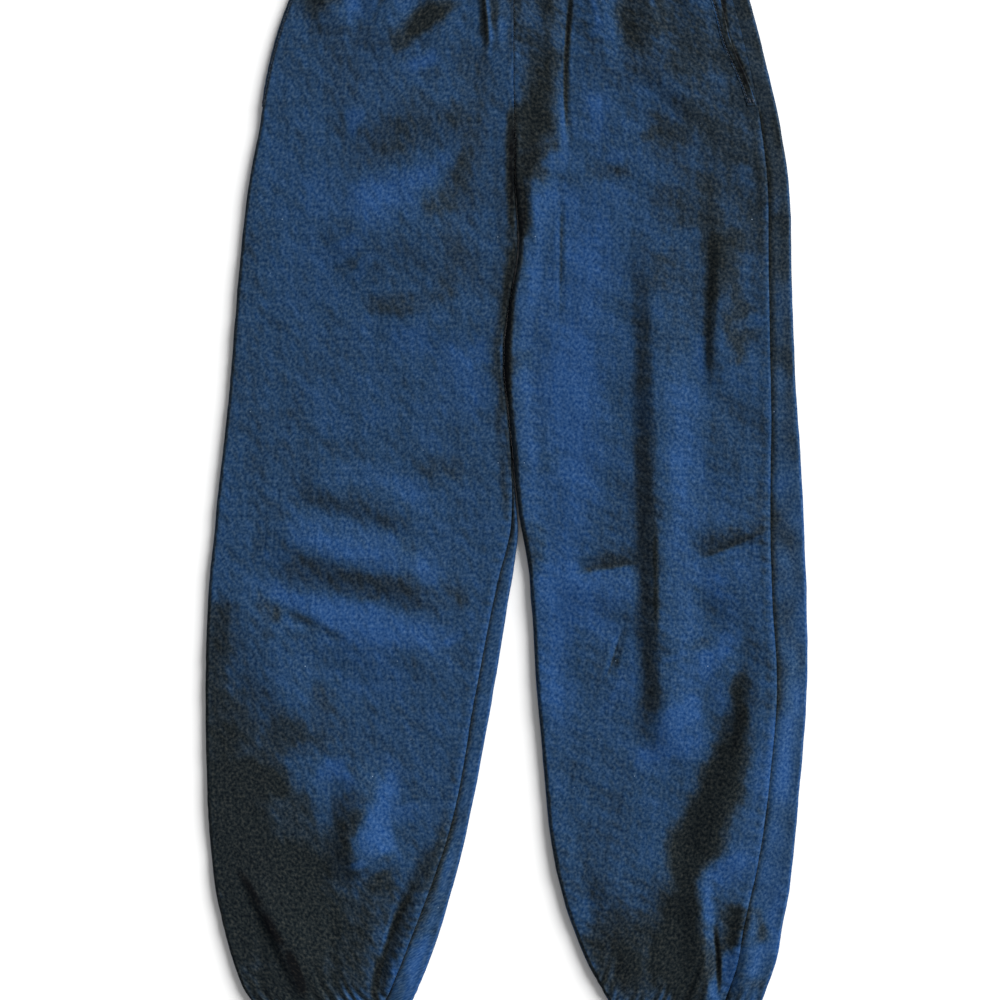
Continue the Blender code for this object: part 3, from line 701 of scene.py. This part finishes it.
def spaced(start, end, count, ring, fine=3.0):
    """count + 1 distances from start to end in each row, fine times closer round the edges."""
    rows = []
    share = np.linspace(0, 1, SPACING_SAMPLES)
    for a, b, arc, top, under, r_in in zip(
            start[:, 0], end[:, 0], ring.arc_out[:, 0], ring.top_length[:, 0],
            ring.under_length[:, 0], ring.roll_in[:, 0]):
        q = a + (b - a) * share
        middle = (q[1:] + q[:-1]) / 2
        reach = r_in * np.pi / 2
        near = np.abs(middle) < arc
        near |= (np.abs(middle - top) < reach) | (np.abs(middle + under) < reach)
        total = np.concatenate([[0], np.cumsum(np.where(near, fine, 1.0))])
        rows.append(np.interp(np.linspace(0, total[-1], count + 1), total, q))
    return np.array(rows)


# ------------------------------------------------------------------ relief along the normal
def seam_relief(distance, down):
    """How a seam shapes the cloth beside it: a dip at the seam, a low welt over its allowance
    and small puckers along it. Two slow sines of the distance down make the puckers uneven."""
    wander = 0.8 * np.sin(down / 0.031) + 0.6 * np.sin(down / 0.0117 + 1.0)
    pucker = np.cos(2 * np.pi * down / PUCKER_PITCH + 2.5 * wander)
    return (
        -SEAM_DIP * bump_at(distance, SEAM_DIP_REACH)
        + SEAM_WELT * bump_at(distance - SEAM_WELT_AT, SEAM_WELT_REACH)
        + PUCKER * pucker * bump_at(distance - SEAM_WELT_AT / 2, SEAM_WELT_AT)
    )


def end_gathers(q, distance, pitch, depth, reach, seed):
    """Soft troughs that run from a gathered seam and die away, uneven in pitch and length."""
    wander = waves(q, 0 * q, 5, 9 * pitch, 2 * pitch, seed)
    length = reach * (0.75 + 0.35 * waves(q, 0 * q, 4, 5 * pitch, 1.6 * pitch, seed + 1))
    trough = 0.5 - 0.5 * np.cos(2 * np.pi * q / pitch + 1.6 * wander)
    fade = ease(1 - distance / np.maximum(length, 0.25 * reach))
    return -depth * trough * fade


LEG_SHIFT = 0.3             # sets the two legs' uneven ground apart


def cloth_relief(ring, q, normal_z):
    """Fine unevenness of the cloth, as an offset along the normal. What would stand out of the
    underside is left off, because the garment lies flat on it."""
    down = ring.down
    top = upper(normal_z)
    apart = q + LEG_SHIFT * ring.side
    level = ground("soft", apart, down) + ground("fine", apart, down)
    hem_pitch = (ring.top_length[-1] + ring.under_length[-1]) / (2 * HEM_GATHERS)
    waist_pitch = (ring.top_length[0] + ring.under_length[0]) / WAIST_PUCKERS
    gathers = end_gathers(
        q, PANEL_END - down, hem_pitch, HEM_GATHER_DEPTH, HEM_GATHER_REACH, HEM_SEED)
    gathers = gathers + end_gathers(
        q, down - PANEL_START, waist_pitch, WAIST_PUCKER_DEPTH, WAIST_PUCKER_REACH, WAIST_SEED)
    ends = np.minimum(down - PANEL_START, PANEL_END - down)
    turn_in = END_TURN * bump_at(ends, PANEL_END_REACH)
    dents = UNDER_DENT + ground("dents", q, down)
    return level * top - dents * (1 - top) + gathers * rising(GATHERS_UNDER, top) - turn_in


# ------------------------------------------------------------------ meshes
def grid_quads(rows, columns, first):
    """Quads of a grid of points, as vertex indices."""
    i, j = np.meshgrid(np.arange(rows - 1), np.arange(columns - 1), indexing="ij")
    a = first + (i * columns + j).ravel()
    return np.stack([a, a + 1, a + columns + 1, a + columns], axis=1)


def border(rows, columns):
    """Indices of a grid's border points, once round."""
    index = np.arange(rows * columns).reshape(rows, columns)
    return np.concatenate([index[0, :-1], index[:-1, -1], index[-1, :0:-1], index[:0:-1, 0]])


SHARP_ANGLE = np.radians(60)


def add_mesh(name, points, faces, uv, material, nap_and_painted_light=None):
    """A mesh object at the origin from points and a list of face arrays, one array for each
    number of corners. uv is given for each point, in metres along the cloth, and so is the nap's
    lie with
    painted light and shade in it: 1 is blue as if lit, 0 charcoal as if in shade and less is near
    black, painted crease shade."""
    mesh = bpy.data.meshes.new(name)
    corners = np.concatenate([f.ravel() for f in faces]).astype(np.int32)
    counts = np.concatenate([np.full(len(f), f.shape[1], np.int32) for f in faces])
    starts = np.concatenate([[0], np.cumsum(counts)[:-1]]).astype(np.int32)
    mesh.vertices.add(len(points))
    mesh.vertices.foreach_set("co", np.ascontiguousarray(points, np.float32).ravel())
    mesh.loops.add(len(corners))
    mesh.loops.foreach_set("vertex_index", corners)
    mesh.polygons.add(len(counts))
    mesh.polygons.foreach_set("loop_start", starts)
    mesh.update(calc_edges=True)
    mesh.validate()
    layer = mesh.uv_layers.new(name="cloth")
    layer.data.foreach_set("uv", np.ascontiguousarray(uv[corners], np.float32).ravel())
    if nap_and_painted_light is not None:
        lie_and_painted_light = mesh.attributes.new("nap_and_painted_light", "FLOAT", "POINT")
        lie_and_painted_light.data.foreach_set("value", np.ascontiguousarray(nap_and_painted_light, np.float32).ravel())
    mesh.shade_smooth()
    mesh.set_sharp_from_angle(angle=SHARP_ANGLE)
    mesh.materials.append(material)
    obj = bpy.data.objects.new(name, mesh)
    bpy.context.scene.collection.objects.link(obj)
    return obj


INNER_STEP = 4              # the hidden inner face has one point for this many of the outer


def add_shell(name, outer, inner, uv, material, nap_and_painted_light):
    """A closed wall of cloth. The outer face keeps every point of its grid; the inner face keeps
    one in INNER_STEP each way, and fans join the two round the rim."""
    rows, columns = outer.shape[:2]
    few = inner[::INNER_STEP, ::INNER_STEP]
    few_rows, few_columns = few.shape[:2]
    first = rows * columns
    outer_faces = grid_quads(rows, columns, 0)
    inner_faces = grid_quads(few_rows, few_columns, first)[:, ::-1]
    loop = border(rows, columns)
    few_loop = first + border(few_rows, few_columns)
    pieces = [loop[k::INNER_STEP] for k in range(INNER_STEP)] + [np.roll(loop[::INNER_STEP], -1)]
    rim = np.stack(pieces[::-1] + [few_loop, np.roll(few_loop, -1)], axis=1)
    across = outer[rows // 2, columns // 2 + 1] - outer[rows // 2, columns // 2]
    along_it = outer[rows // 2 + 1, columns // 2] - outer[rows // 2, columns // 2]
    out = outer[rows // 2, columns // 2] - inner[rows // 2, columns // 2]
    faces = [outer_faces, inner_faces, rim]
    if np.dot(np.cross(across, along_it), out) < 0:
        faces = [f[:, ::-1] for f in faces]
    points = np.concatenate([outer.reshape(-1, 3), few.reshape(-1, 3)])
    few_uv = uv[::INNER_STEP, ::INNER_STEP]
    few_nap_and_painted_light = nap_and_painted_light[::INNER_STEP, ::INNER_STEP]
    return add_mesh(
        name, points, faces, np.concatenate([uv.reshape(-1, 2), few_uv.reshape(-1, 2)]), material,
        np.concatenate([nap_and_painted_light.ravel(), few_nap_and_painted_light.ravel()]))


UNDERSIDE = -0.3            # where the normal's z is below this, the cloth stays above the floor


def shell_grids(ring, q, relief, wall):
    """Outer points, inner points, cloth coordinates and the nap's lie with painted light and
    shade, of a wall on a ring.
    """
    x, z = ring_points(ring, q)
    nx, nz = ring_normals(ring, q)
    y = GARMENT_LENGTH / 2 - ring.down + 0 * x
    offset = relief(q, nz)
    low = nz < UNDERSIDE
    up = z + nz * offset
    outer = np.stack([x + nx * offset, y, np.where(low, np.maximum(up, 0), up)], -1)
    inner = np.stack([x - nx * wall, y, z - nz * wall], -1)
    return outer, inner, np.stack([q + 0 * x, ring.down + 0 * x], -1), painted_light_and_nap(outer, nx, nz)


NAP_REST = 0.56             # lie of the nap on level cloth
PAINTED_LIGHT_GAIN = 1.0              # how much a slope towards the painted light lifts it: painted light, lighter and bluer
PAINTED_LIGHT_FROM = np.radians(38)    # the way the painted light comes from, as the sun's, from +X towards the waist
PAINTED_LIGHT_SLOPE = 0.34            # a steeper slope gets no more painted light or shade
NAP_LOWEST = -0.02          # the painted strokes bring the lie no lower; only the thin lines of painted crease shade do
NAP_BLEND = 0.06


def painted_light_and_nap(outer, normal_x, normal_z):
    """The lie of the nap, with painted light and shade in it: a rest value, painted lighter where
    the cloth leans towards the light and darker where it leans away, the painted strokes of light
    and shade on the upper side, and thin lines of painted crease shade. The underside has soft
    patches."""
    across, down = np.gradient(outer, axis=1), np.gradient(outer, axis=0)
    facing = np.cross(across, down)
    facing /= np.linalg.norm(facing, axis=2)[:, :, None] + 1e-12
    sign = np.sign(facing[..., 0] * normal_x + facing[..., 2] * normal_z)
    toward_light = sign * (facing[..., 0] * np.cos(PAINTED_LIGHT_FROM) + facing[..., 1] * np.sin(PAINTED_LIGHT_FROM))
    # The painted light from the slope counts where the cloth faces up, the painted strokes also on
    # the rolled edges.
    toward_light = np.clip(toward_light, -PAINTED_LIGHT_SLOPE, PAINTED_LIGHT_SLOPE) * ease(2 * normal_z - 0.6)
    top = ease(0.5 + 1.2 * normal_z)
    x, down = outer[..., 0], GARMENT_LENGTH / 2 - outer[..., 1]
    strayed = x + ground("nap across", x, down), down + ground("nap down", x, down)
    # painted strokes of light and shade
    painted_strokes = fold_height(LIGHT_AND_SHADE_STROKES, *strayed) / MM
    patches = ground("nap patches", x, down) * (1.5 * (1 - top) + 0.35 * top)
    lie_and_painted_light = NAP_REST + (PAINTED_LIGHT_GAIN * toward_light + painted_strokes) * top + patches
    lie_and_painted_light = lie_and_painted_light + ground("nap small", x, down)
    lie_and_painted_light = NAP_LOWEST + NAP_BLEND * np.logaddexp(0, (lie_and_painted_light - NAP_LOWEST) / NAP_BLEND)
    # thin lines of painted crease shade, on the upper side
    return lie_and_painted_light + fold_height(PAINTED_CREASE_SHADE, x, down) / MM * top


def graded(stretches):
    """Distances down the garment: each stretch is (end, rows) and the rows add up to a multiple
    of INNER_STEP."""
    downs = [np.array([PANEL_START])]
    for end, rows in stretches:
        downs.append(np.linspace(downs[-1][-1], end, rows + 1)[1:])
    return np.concatenate(downs)


FRONT_ROWS = ((0.120, 48), (0.520, 140), (0.720, 92), (0.900, 68), (PANEL_END, 84))
BACK_ROWS = ((0.120, 28), (0.900, 144), (PANEL_END, 44))
FRONT_COLUMNS = 188
BACK_COLUMNS = 96


def add_panel(leg, face, material):
    """A leg panel, from the waistband seam to the cuff seam and from seam to seam round."""
    front = face == "front"
    ring = leg_ring(leg, graded(FRONT_ROWS if front else BACK_ROWS))
    half = SEAM_GAP / 2
    if front:
        start, end = ring.outseam + half, ring.top_length - ring.inseam - half
    else:
        start, end = half - (ring.under_length + ring.inseam), ring.outseam - half
    q = spaced(start, end, FRONT_COLUMNS if front else BACK_COLUMNS, ring)

    outseam = rising(SEAM_BESIDE_MOUTH, ease((ring.down - MOUTH_END) / MOUTH_FADE))
    centre = rising(SEAM_AT_CENTRE, ring.front_turn)
    at_start, at_end = (outseam, centre) if front else (1.0, outseam)

    def relief(q, normal_z):
        """The cloth's own unevenness and what each seam adds beside it."""
        beside = at_start * seam_relief(q - start, ring.down)
        beside = beside + at_end * seam_relief(end - q, ring.down)
        beside = np.where(beside > 0, beside * upper(normal_z), beside)
        return cloth_relief(ring, q, normal_z) + beside

    outer, inner, uv, nap_and_painted_light = shell_grids(ring, q, relief, CLOTH)
    # painted shade down in each seam, fainter where the seam's relief is faint
    shade = at_start * bump_at(q - start, PAINTED_SEAM_SHADE_REACH)
    shade = shade + at_end * bump_at(end - q, PAINTED_SEAM_SHADE_REACH)
    name = "cloth_" + face + "_" + leg
    return add_shell(name, outer, inner, uv, material, nap_and_painted_light - PAINTED_SEAM_SHADE * shade)


def band_ring(downs, outers, inners, roll, gathers, rise, inseam):
    """A waistband's or cuff's ring: even rolls and uneven gathers on top."""
    column = np.asarray(downs, float)[:, None]
    ring = SimpleNamespace(
        down=column, side=np.where(inners > outers, 1.0, -1.0)[:, None],
        outer=outers[:, None], inner=inners[:, None],
        roll_out=roll + 0 * column, roll_in=roll + 0 * column,
        front_turn=1.0, under_turn=1.0)
    width = np.abs(ring.inner - ring.outer)

    def height(x):
        """Two rolls high, with a cosine wave for each gather on top."""
        share = np.abs(x - ring.outer) / width
        turn = 2 * np.pi * gathers * share + ground("gathers", share, 0 * share)
        wave = 0.5 - 0.5 * np.cos(turn)
        inside = np.minimum(np.abs(x - ring.outer), np.abs(ring.inner - x)) - roll
        return 2 * roll + rise * wave * ease(inside / (2 * roll))

    ring.height = height
    measured(ring)
    ring.inseam = inseam(ring)
    return ring


def add_band(name, ring, wall, columns, material):
    """A gathered band all the way round, with its sewn ends and both its edges turned in."""
    half = SEAM_GAP / 2
    start = half - (ring.under_length + ring.inseam)
    end = ring.top_length - ring.inseam - half
    q = spaced(start, end, columns, ring, fine=2.0)
    first, last = ring.down[0, 0], ring.down[-1, 0]
    edges = bump_at(np.minimum(ring.down - first, last - ring.down), BAND_END_REACH)

    def relief(q, normal_z):
        """A little unevenness, and the cloth turned in at the edges and the sewn ends."""
        ends = bump_at(q - start, BAND_END_REACH) + bump_at(end - q, BAND_END_REACH)
        return ground("band", q, ring.down) * upper(normal_z) - END_TURN * (edges + ends)

    outer, inner, uv, nap_and_painted_light = shell_grids(ring, q, relief, wall)
    return add_shell(name, outer, inner, uv, material, nap_and_painted_light)


CUFF_GRID = (28, 288)       # rows and columns of a cuff's outer face
WAIST_GRID = (24, 560)


def waist_ring():
    """The waistband's ring, drawn in a little at its top edge."""
    downs = np.linspace(0, WAISTBAND_DEPTH, WAIST_GRID[0] + 1)
    draw = WAIST_DRAW * (1 - downs / WAISTBAND_DEPTH) ** 2
    return band_ring(
        downs, WAIST_RIGHT + draw, WAIST_LEFT - draw, WAIST_ROLL, WAIST_GATHERS,
        WAIST_GATHER_RISE, lambda ring: -ring.under_length / 2)


def cuff_ring(leg):
    """A cuff's ring, narrowing to the hem."""
    sign = -1.0 if leg == "right" else 1.0
    count = CUFF_GRID[0] + 1
    downs = np.linspace(GARMENT_LENGTH - CUFF_DEPTH, GARMENT_LENGTH, count)
    reach = sign * np.linspace(CUFF_TOP_WIDTH, CUFF_HEM_WIDTH, count) / 2
    inseam = leg_ring(leg, [PANEL_END]).inseam[0, 0]
    return band_ring(
        downs, CUFF_CENTRE[leg] + reach, CUFF_CENTRE[leg] - reach, CUFF_ROLL, CUFF_GATHERS,
        CUFF_GATHER_RISE, lambda ring: inseam + 0 * ring.down)


def path_on(ring, q, lift):
    """Points lifted off the cloth at q in each row, and the normals there."""
    x, z = ring_points(ring, q)
    nx, nz = ring_normals(ring, q)
    y = GARMENT_LENGTH / 2 - ring.down
    points = np.stack([x + nx * lift, y + 0 * x, z + nz * lift], -1)
    return points, np.stack([nx, 0 * nx, nz], -1)


MOUTH_GRID = (60, 16)       # rows and columns of a mouth's outer face


def add_pocket_mouth(leg, material):
    """The turned and stitched edge of a side pocket's mouth, on the front panel's surface. Its
    thickness is full at the free edge and eases out to its foot and its joined side."""
    ring = leg_ring(leg, np.linspace(PANEL_START, MOUTH_END, MOUTH_GRID[0] + 1))
    lip = MOUTH_WIDTH * np.linspace(0, 1, MOUTH_GRID[1] + 1)[None, :]
    q = along(MOUTH, leg, ring.down) + lip
    foot = ease((MOUTH_END - ring.down) / MOUTH_FOOT)
    joined = ease((MOUTH_WIDTH - lip) / MOUTH_FLUSH)
    thick = MOUTH_THICK * rising(MOUTH_LEAST, foot * joined) * ease(0.35 + lip / MOUTH_EDGE)
    thick = thick - MOUTH_STITCH_DIP * bump_at(lip - MOUTH_STITCH_IN, MOUTH_STITCH_REACH) * foot
    thick = thick + ground("mouth", q, ring.down)
    outer, normals = path_on(ring, q, SEAM_GAP + thick)
    inner = path_on(ring, q, -MOUTH_UNDER)[0]
    uv = np.stack([q, ring.down + 0 * q], -1)
    nap_and_painted_light = painted_light_and_nap(outer, normals[..., 0], normals[..., 2])
    return add_shell("cloth_pocket_mouth_" + leg, outer, inner, uv, material, nap_and_painted_light)


# ------------------------------------------------------------------ stitches
def read_along(values, at, where):
    """Values given at distances along a path, read at other distances."""
    return np.stack([np.interp(where, at, column) for column in values.T], -1)


STITCH_PITCH = 0.0032
STITCH_LENGTH = 0.0024
STITCH_RADIUS = 0.00032
STITCH_SIDES = 6
# Rings of a stitch, in halves of its length and in radii: place along it, thickness, height.
STITCH_RINGS = (
    (-1.0, 0.25, -0.9), (-0.6, 0.85, -0.1), (0.0, 1.0, 0.25), (0.6, 0.85, -0.1), (1.0, 0.25, -0.9))


def add_stitches(name, rows, material):
    """Rows of stitches. Each row is a path of points with normals. A stitch is a six-sided
    spindle that lies along the path and sinks at both ends."""
    place, thick, rise = np.array(STITCH_RINGS).T[:, :, None, None]
    sides = STITCH_SIDES
    each = sides * len(STITCH_RINGS)
    turn = np.arange(sides) * 2 * np.pi / sides
    points, faces = [], []
    first = 0
    for path, normal in rows:
        step = np.linalg.norm(np.diff(path, axis=0), axis=1)
        at = np.concatenate([[0], np.cumsum(step)])
        centres = np.arange(STITCH_PITCH / 2, at[-1], STITCH_PITCH)
        centre, up = read_along(path, at, centres), read_along(normal, at, centres)
        ahead = read_along(path, at, centres + STITCH_PITCH / 3)
        ahead = ahead - read_along(path, at, centres - STITCH_PITCH / 3)
        ahead /= np.linalg.norm(ahead, axis=1)[:, None]
        up /= np.linalg.norm(up, axis=1)[:, None]
        side = np.cross(ahead, up)
        centre, ahead, up, side = (v[:, None, None] for v in (centre, ahead, up, side))
        round_it = side * np.cos(turn)[:, None] + up * np.sin(turn)[:, None]
        body = centre + ahead * place * STITCH_LENGTH / 2
        body = body + STITCH_RADIUS * (up * rise + thick * round_it)
        count = len(centres)
        k, r, s = np.meshgrid(
            np.arange(count), np.arange(len(STITCH_RINGS) - 1), np.arange(sides), indexing="ij")
        a = first + k * each + r * sides + s
        b = first + k * each + r * sides + (s + 1) % sides
        faces.append(np.stack([a, b, b + sides, a + sides], -1).reshape(-1, 4))
        points.append(body.reshape(-1, 3))
        first += count * each
    points = np.concatenate(points)
    caps = np.arange(0, first, each)[:, None] + np.arange(sides)
    caps = np.concatenate([caps[:, ::-1], caps + each - sides])
    return add_mesh(name, points, [np.concatenate(faces), caps], points[:, :2], material)


TOPSTITCH_POINTS = 60
TOPSTITCH_END = 0.002       # the topstitch stops this far above the mouth's foot
TOPSTITCH_UP = 0.45         # and lies at this share of the mouth's thickness
TACK_LENGTH = 0.0075        # the bar tack across the foot of a mouth
TACK_DEPTH = 0.0022
TACK_UP = 0.0042            # from the mouth's foot up to the tack's middle
TACK_PASSES = 6
TACK_POINTS = 12


def topstitch(leg):
    """The row of stitches down a pocket mouth, as a path."""
    ring = leg_ring(leg, np.linspace(PANEL_START, MOUTH_END - TOPSTITCH_END, TOPSTITCH_POINTS))
    q = along(MOUTH, leg, ring.down) + MOUTH_STITCH_IN
    points, normals = path_on(ring, q, SEAM_GAP + TOPSTITCH_UP * MOUTH_THICK)
    return points[:, 0], normals[:, 0]


def bar_tack(leg):
    """Close stitches across the foot of a pocket mouth, as short paths side by side."""
    rows = []
    reach = np.linspace(-0.5, 0.5, TACK_POINTS)[:, None] * TACK_LENGTH
    for share in np.linspace(-0.5, 0.5, TACK_PASSES):
        down = MOUTH_END - TACK_UP + share * TACK_DEPTH
        ring = leg_ring(leg, [down] * TACK_POINTS)
        middle = along(MOUTH, leg, ring.down) + MOUTH_WIDTH / 2
        points, normals = path_on(ring, middle + reach, SEAM_GAP + 0.5 * MOUTH_THICK)
        rows.append((points[:, 0], normals[:, 0]))
    return rows


# ------------------------------------------------------------------ materials
def linear(colour):
    """A hex sRGB colour as linear RGBA."""
    value = np.array([int(colour[i:i + 2], 16) for i in (1, 3, 5)]) / 255
    low = value / 12.92
    high = ((value + 0.055) / 1.055) ** 2.4
    return (*np.where(value <= 0.04045, low, high), 1.0)


class Nodes:
    """Short calls for a material's node tree. Inputs are (input, value) pairs: a socket is
    linked to its input, and any other value is set."""

    def __init__(self, name):
        self.material = bpy.data.materials.new(name)
        self.material.use_nodes = True
        self.tree = self.material.node_tree

    def wire(self, node, inputs):
        """Links or sets each input of a node."""
        for target, value in inputs:
            if isinstance(value, bpy.types.NodeSocket):
                self.tree.links.new(value, node.inputs[target])
            else:
                node.inputs[target].default_value = value
        return node

    def add(self, kind, inputs=(), **settings):
        """A new node."""
        node = self.tree.nodes.new(kind)
        for key, value in settings.items():
            setattr(node, key, value)
        return self.wire(node, inputs)

    def math(self, operation, *values, kind="ShaderNodeMath"):
        """The result of one step of arithmetic."""
        return self.add(kind, enumerate(values), operation=operation).outputs[0]

    def ramp(self, factor, stops, interpolation="EASE"):
        """A colour ramp from (position, hex colour) stops."""
        node = self.add("ShaderNodeValToRGB", [(0, factor)])
        node.color_ramp.interpolation = interpolation
        elements = node.color_ramp.elements
        while len(elements) < len(stops):
            elements.new(0.5)
        for element, (position, colour) in zip(elements, stops):
            element.position = position
            element.color = linear(colour)
        return node.outputs[0]

    def finished(self, inputs):
        """Gives the shader its inputs and returns the material."""
        self.wire(self.tree.nodes["Principled BSDF"], inputs.items())
        return self.material


DISPLAY_GAMMA = 2.2
GRAIN_SIZE = 0.0026         # metres from one blob of light fibres to the next
GRAIN_DEPTH = (0.36, 0.31, 0.25)    # red, green, blue: palest blobs above darkest
GRAIN_LEAST = (0.03, 0.04, 0.05)    # no fibre is darker
GRAIN_HEIGHT = 0.0005
GRAIN_BUMP = 0.25
PATCH_SIZE = 0.030          # slow patches of lie, on top of the nap's own
PATCH_DEPTH = 0.12
LIE_RANGE = (-0.6, 1.0)     # the lies at the two ends of the colours, from painted shade to painted light
# Painted shade and light: near black is shade in creases, charcoal is cloth turned from the light,
# blue is cloth facing it.
YARN_PAINTED_SHADE_TO_LIGHT = (
    (0.000, "#030405"), (0.375, "#151b1d"), (0.550, "#1b2732"), (0.725, "#1d3550"),
    (1.000, "#203f68"))
LINT_CELLS = 34.0           # cells to the metre; a few of them show a speck
LINT_RADII = (0.0100, 0.0240)   # of a cell: where a speck starts to fade and where it ends
LINT_STRENGTH = 0.70
LINT = "#8fa3b8"


def fleece(name, depth=1.0):
    """Brushed heather fleece. Its colour runs from near black, painted crease shade, through
    charcoal, painted where the cloth turns from the light, to blue, painted where it faces the
    light; it is mixed with pale fibres in blobs of two or three millimetres, a few specks of lint,
    and the dusty bloom of a short nap at grazing angles."""
    nodes = Nodes(name)
    uv = nodes.add("ShaderNodeUVMap", uv_map="cloth").outputs[0]
    # the lie with its painted light and shade, from the mesh attribute
    lie_and_painted_light = nodes.add("ShaderNodeAttribute", attribute_name="nap_and_painted_light").outputs["Fac"]

    def noise(size, stretch, detail, roughness):
        """Noise with blobs of a size in metres, stretched along the garment."""
        scale = (1 / size, 1 / (size * stretch), 1.0)
        mapping = nodes.add("ShaderNodeMapping", [(0, uv), (3, scale)])
        return nodes.add("ShaderNodeTexNoise", [
            (0, mapping.outputs[0]), (2, 1.0), (3, detail), (4, roughness)]).outputs[0]

    grain = noise(GRAIN_SIZE, 1.15, 1.5, 0.5)
    patches = noise(PATCH_SIZE, 1.2, 2.0, 0.6)
    patches = nodes.math("MULTIPLY_ADD", patches, PATCH_DEPTH, -PATCH_DEPTH / 2)
    lie_and_painted_light = nodes.math("ADD", lie_and_painted_light, patches)
    place = nodes.add("ShaderNodeMapRange", [(0, lie_and_painted_light), (1, LIE_RANGE[0]), (2, LIE_RANGE[1])])
    yarn_and_painted_light = nodes.ramp(place.outputs[0], YARN_PAINTED_SHADE_TO_LIGHT, "LINEAR")
    seen = nodes.add("ShaderNodeGamma", [(0, yarn_and_painted_light), (1, 1 / DISPLAY_GAMMA)]).outputs[0]
    pale = nodes.math("SUBTRACT", grain, 0.5)
    vector = "ShaderNodeVectorMath"
    seen = nodes.math("MULTIPLY_ADD", pale, GRAIN_DEPTH, seen, kind=vector)
    seen = nodes.math("MAXIMUM", seen, GRAIN_LEAST, kind=vector)
    mixed = nodes.add("ShaderNodeGamma", [(0, seen), (1, DISPLAY_GAMMA)]).outputs[0]
    cells = nodes.add("ShaderNodeTexVoronoi", [(2, LINT_CELLS), (0, uv)], feature="F1")
    speck = nodes.add("ShaderNodeMapRange", [
        (0, cells.outputs[0]), (1, LINT_RADII[0]), (2, LINT_RADII[1]),
        (3, LINT_STRENGTH), (4, 0.0)])
    colour = nodes.add("ShaderNodeMix", [
        (0, speck.outputs[0]), (6, mixed), (7, linear(LINT))], data_type="RGBA")
    bump = nodes.add("ShaderNodeBump", [(0, GRAIN_BUMP), (1, GRAIN_HEIGHT * depth), (3, grain)])
    return nodes.finished({
        "Base Color": colour.outputs[2], "Normal": bump.outputs[0],
        "Roughness": 0.96, "Specular IOR Level": 0.10,
        "Sheen Weight": 0.08, "Sheen Roughness": 0.5, "Sheen Tint": linear("#7f9bc4"),
    })


def thread():
    """Matt dark navy sewing thread, darker than the nap that it sinks into."""
    nodes = Nodes("navy_thread")
    place = nodes.add("ShaderNodeTexCoord").outputs["Object"]
    twist = nodes.add("ShaderNodeTexNoise", [(0, place), (2, 900.0), (3, 1.0)]).outputs[0]
    colour = nodes.ramp(twist, ((0.35, "#0b121c"), (0.65, "#1c2c42")))
    return nodes.finished({"Base Color": colour, "Roughness": 0.75})


def card():
    """Plain matt white card."""
    return Nodes("white_floor").finished({
        "Base Color": linear("#f4f4f4"), "Roughness": 0.9, "Specular IOR Level": 0.1})


# ------------------------------------------------------------------ the scene around it
FLOOR_HALF = 6.0
FLOOR_DOWN = 0.0002         # how far it lies below the garment
VIEW_CENTRE = (-0.0062, -0.0048)
VIEW_WIDTH = 0.950
VIEW_LEVEL = 0.006          # height at which the view is that wide
VIEW_END = 50.0
LENS = 70.0
SENSOR = 36.0
SUN_STRENGTH = 7.6
SUN_SPREAD = np.radians(48)
SUN_UP = np.radians(25)     # its height over the floor
SUN_ROUND = np.radians(38)  # and its direction, from +X towards the waist
SKY_STRENGTH = 0.32


def add_floor():
    """A plain floor under the garment."""
    corners = np.array([(-1, -1), (1, -1), (1, 1), (-1, 1)]) * FLOOR_HALF
    points = np.column_stack([corners, np.full(4, -FLOOR_DOWN)])
    add_mesh("floor", points, [np.array([[0, 1, 2, 3]])], corners, card())


def add_camera():
    """Straight above the garment, framed as a close view that crops the waist and the cuffs."""
    camera = bpy.data.objects.new("camera", bpy.data.cameras.new("camera"))
    camera.data.lens = LENS
    camera.data.sensor_width = SENSOR
    camera.data.clip_end = VIEW_END
    camera.location = (*VIEW_CENTRE, VIEW_WIDTH * LENS / SENSOR + VIEW_LEVEL)
    bpy.context.scene.collection.objects.link(camera)
    bpy.context.scene.camera = camera


def add_light():
    """A broad light, low and from the upper right, over a dim plain surround."""
    sun = bpy.data.objects.new("key", bpy.data.lights.new("key", "SUN"))
    sun.data.energy = SUN_STRENGTH
    sun.data.angle = SUN_SPREAD
    sun.rotation_euler = (np.pi / 2 - SUN_UP, 0, np.pi / 2 + SUN_ROUND)
    bpy.context.scene.collection.objects.link(sun)
    world = bpy.data.worlds.new("surround")
    world.use_nodes = True
    background = world.node_tree.nodes["Background"]
    background.inputs[0].default_value = linear("#ffffff")
    background.inputs[1].default_value = SKY_STRENGTH
    bpy.context.scene.world = world
    bpy.context.scene.view_settings.view_transform = "Standard"


def keep(piece, node):
    """The piece rides on the garment's one body, and stands for a node where one is named."""
    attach(piece, "root")
    if node:
        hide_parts(node)


def main():
    add_camera()
    add_light()
    add_floor()
    cloth = fleece("heather_fleece")
    casing = fleece("heather_casing", depth=1.2)
    stitch = thread()
    stitches = []
    for leg in ("right", "left"):
        for face in ("front", "back"):
            panel = add_panel(leg, face, cloth)
            keep(panel, face + "_" + leg)
        cuff = add_band("cloth_cuff_" + leg, cuff_ring(leg), CUFF_WALL, CUFF_GRID[1], casing)
        keep(cuff, "cuff_" + leg)
        mouth = add_pocket_mouth(leg, cloth)
        keep(mouth, "pocket_mouth_" + leg)
        stitches += [topstitch(leg)] + bar_tack(leg)
    waist = add_band("cloth_waistband", waist_ring(), WAIST_WALL, WAIST_GRID[1], casing)
    keep(waist, "waistband")
    sewn = add_stitches("pocket_stitches", stitches, stitch)
    keep(sewn, None)


main()
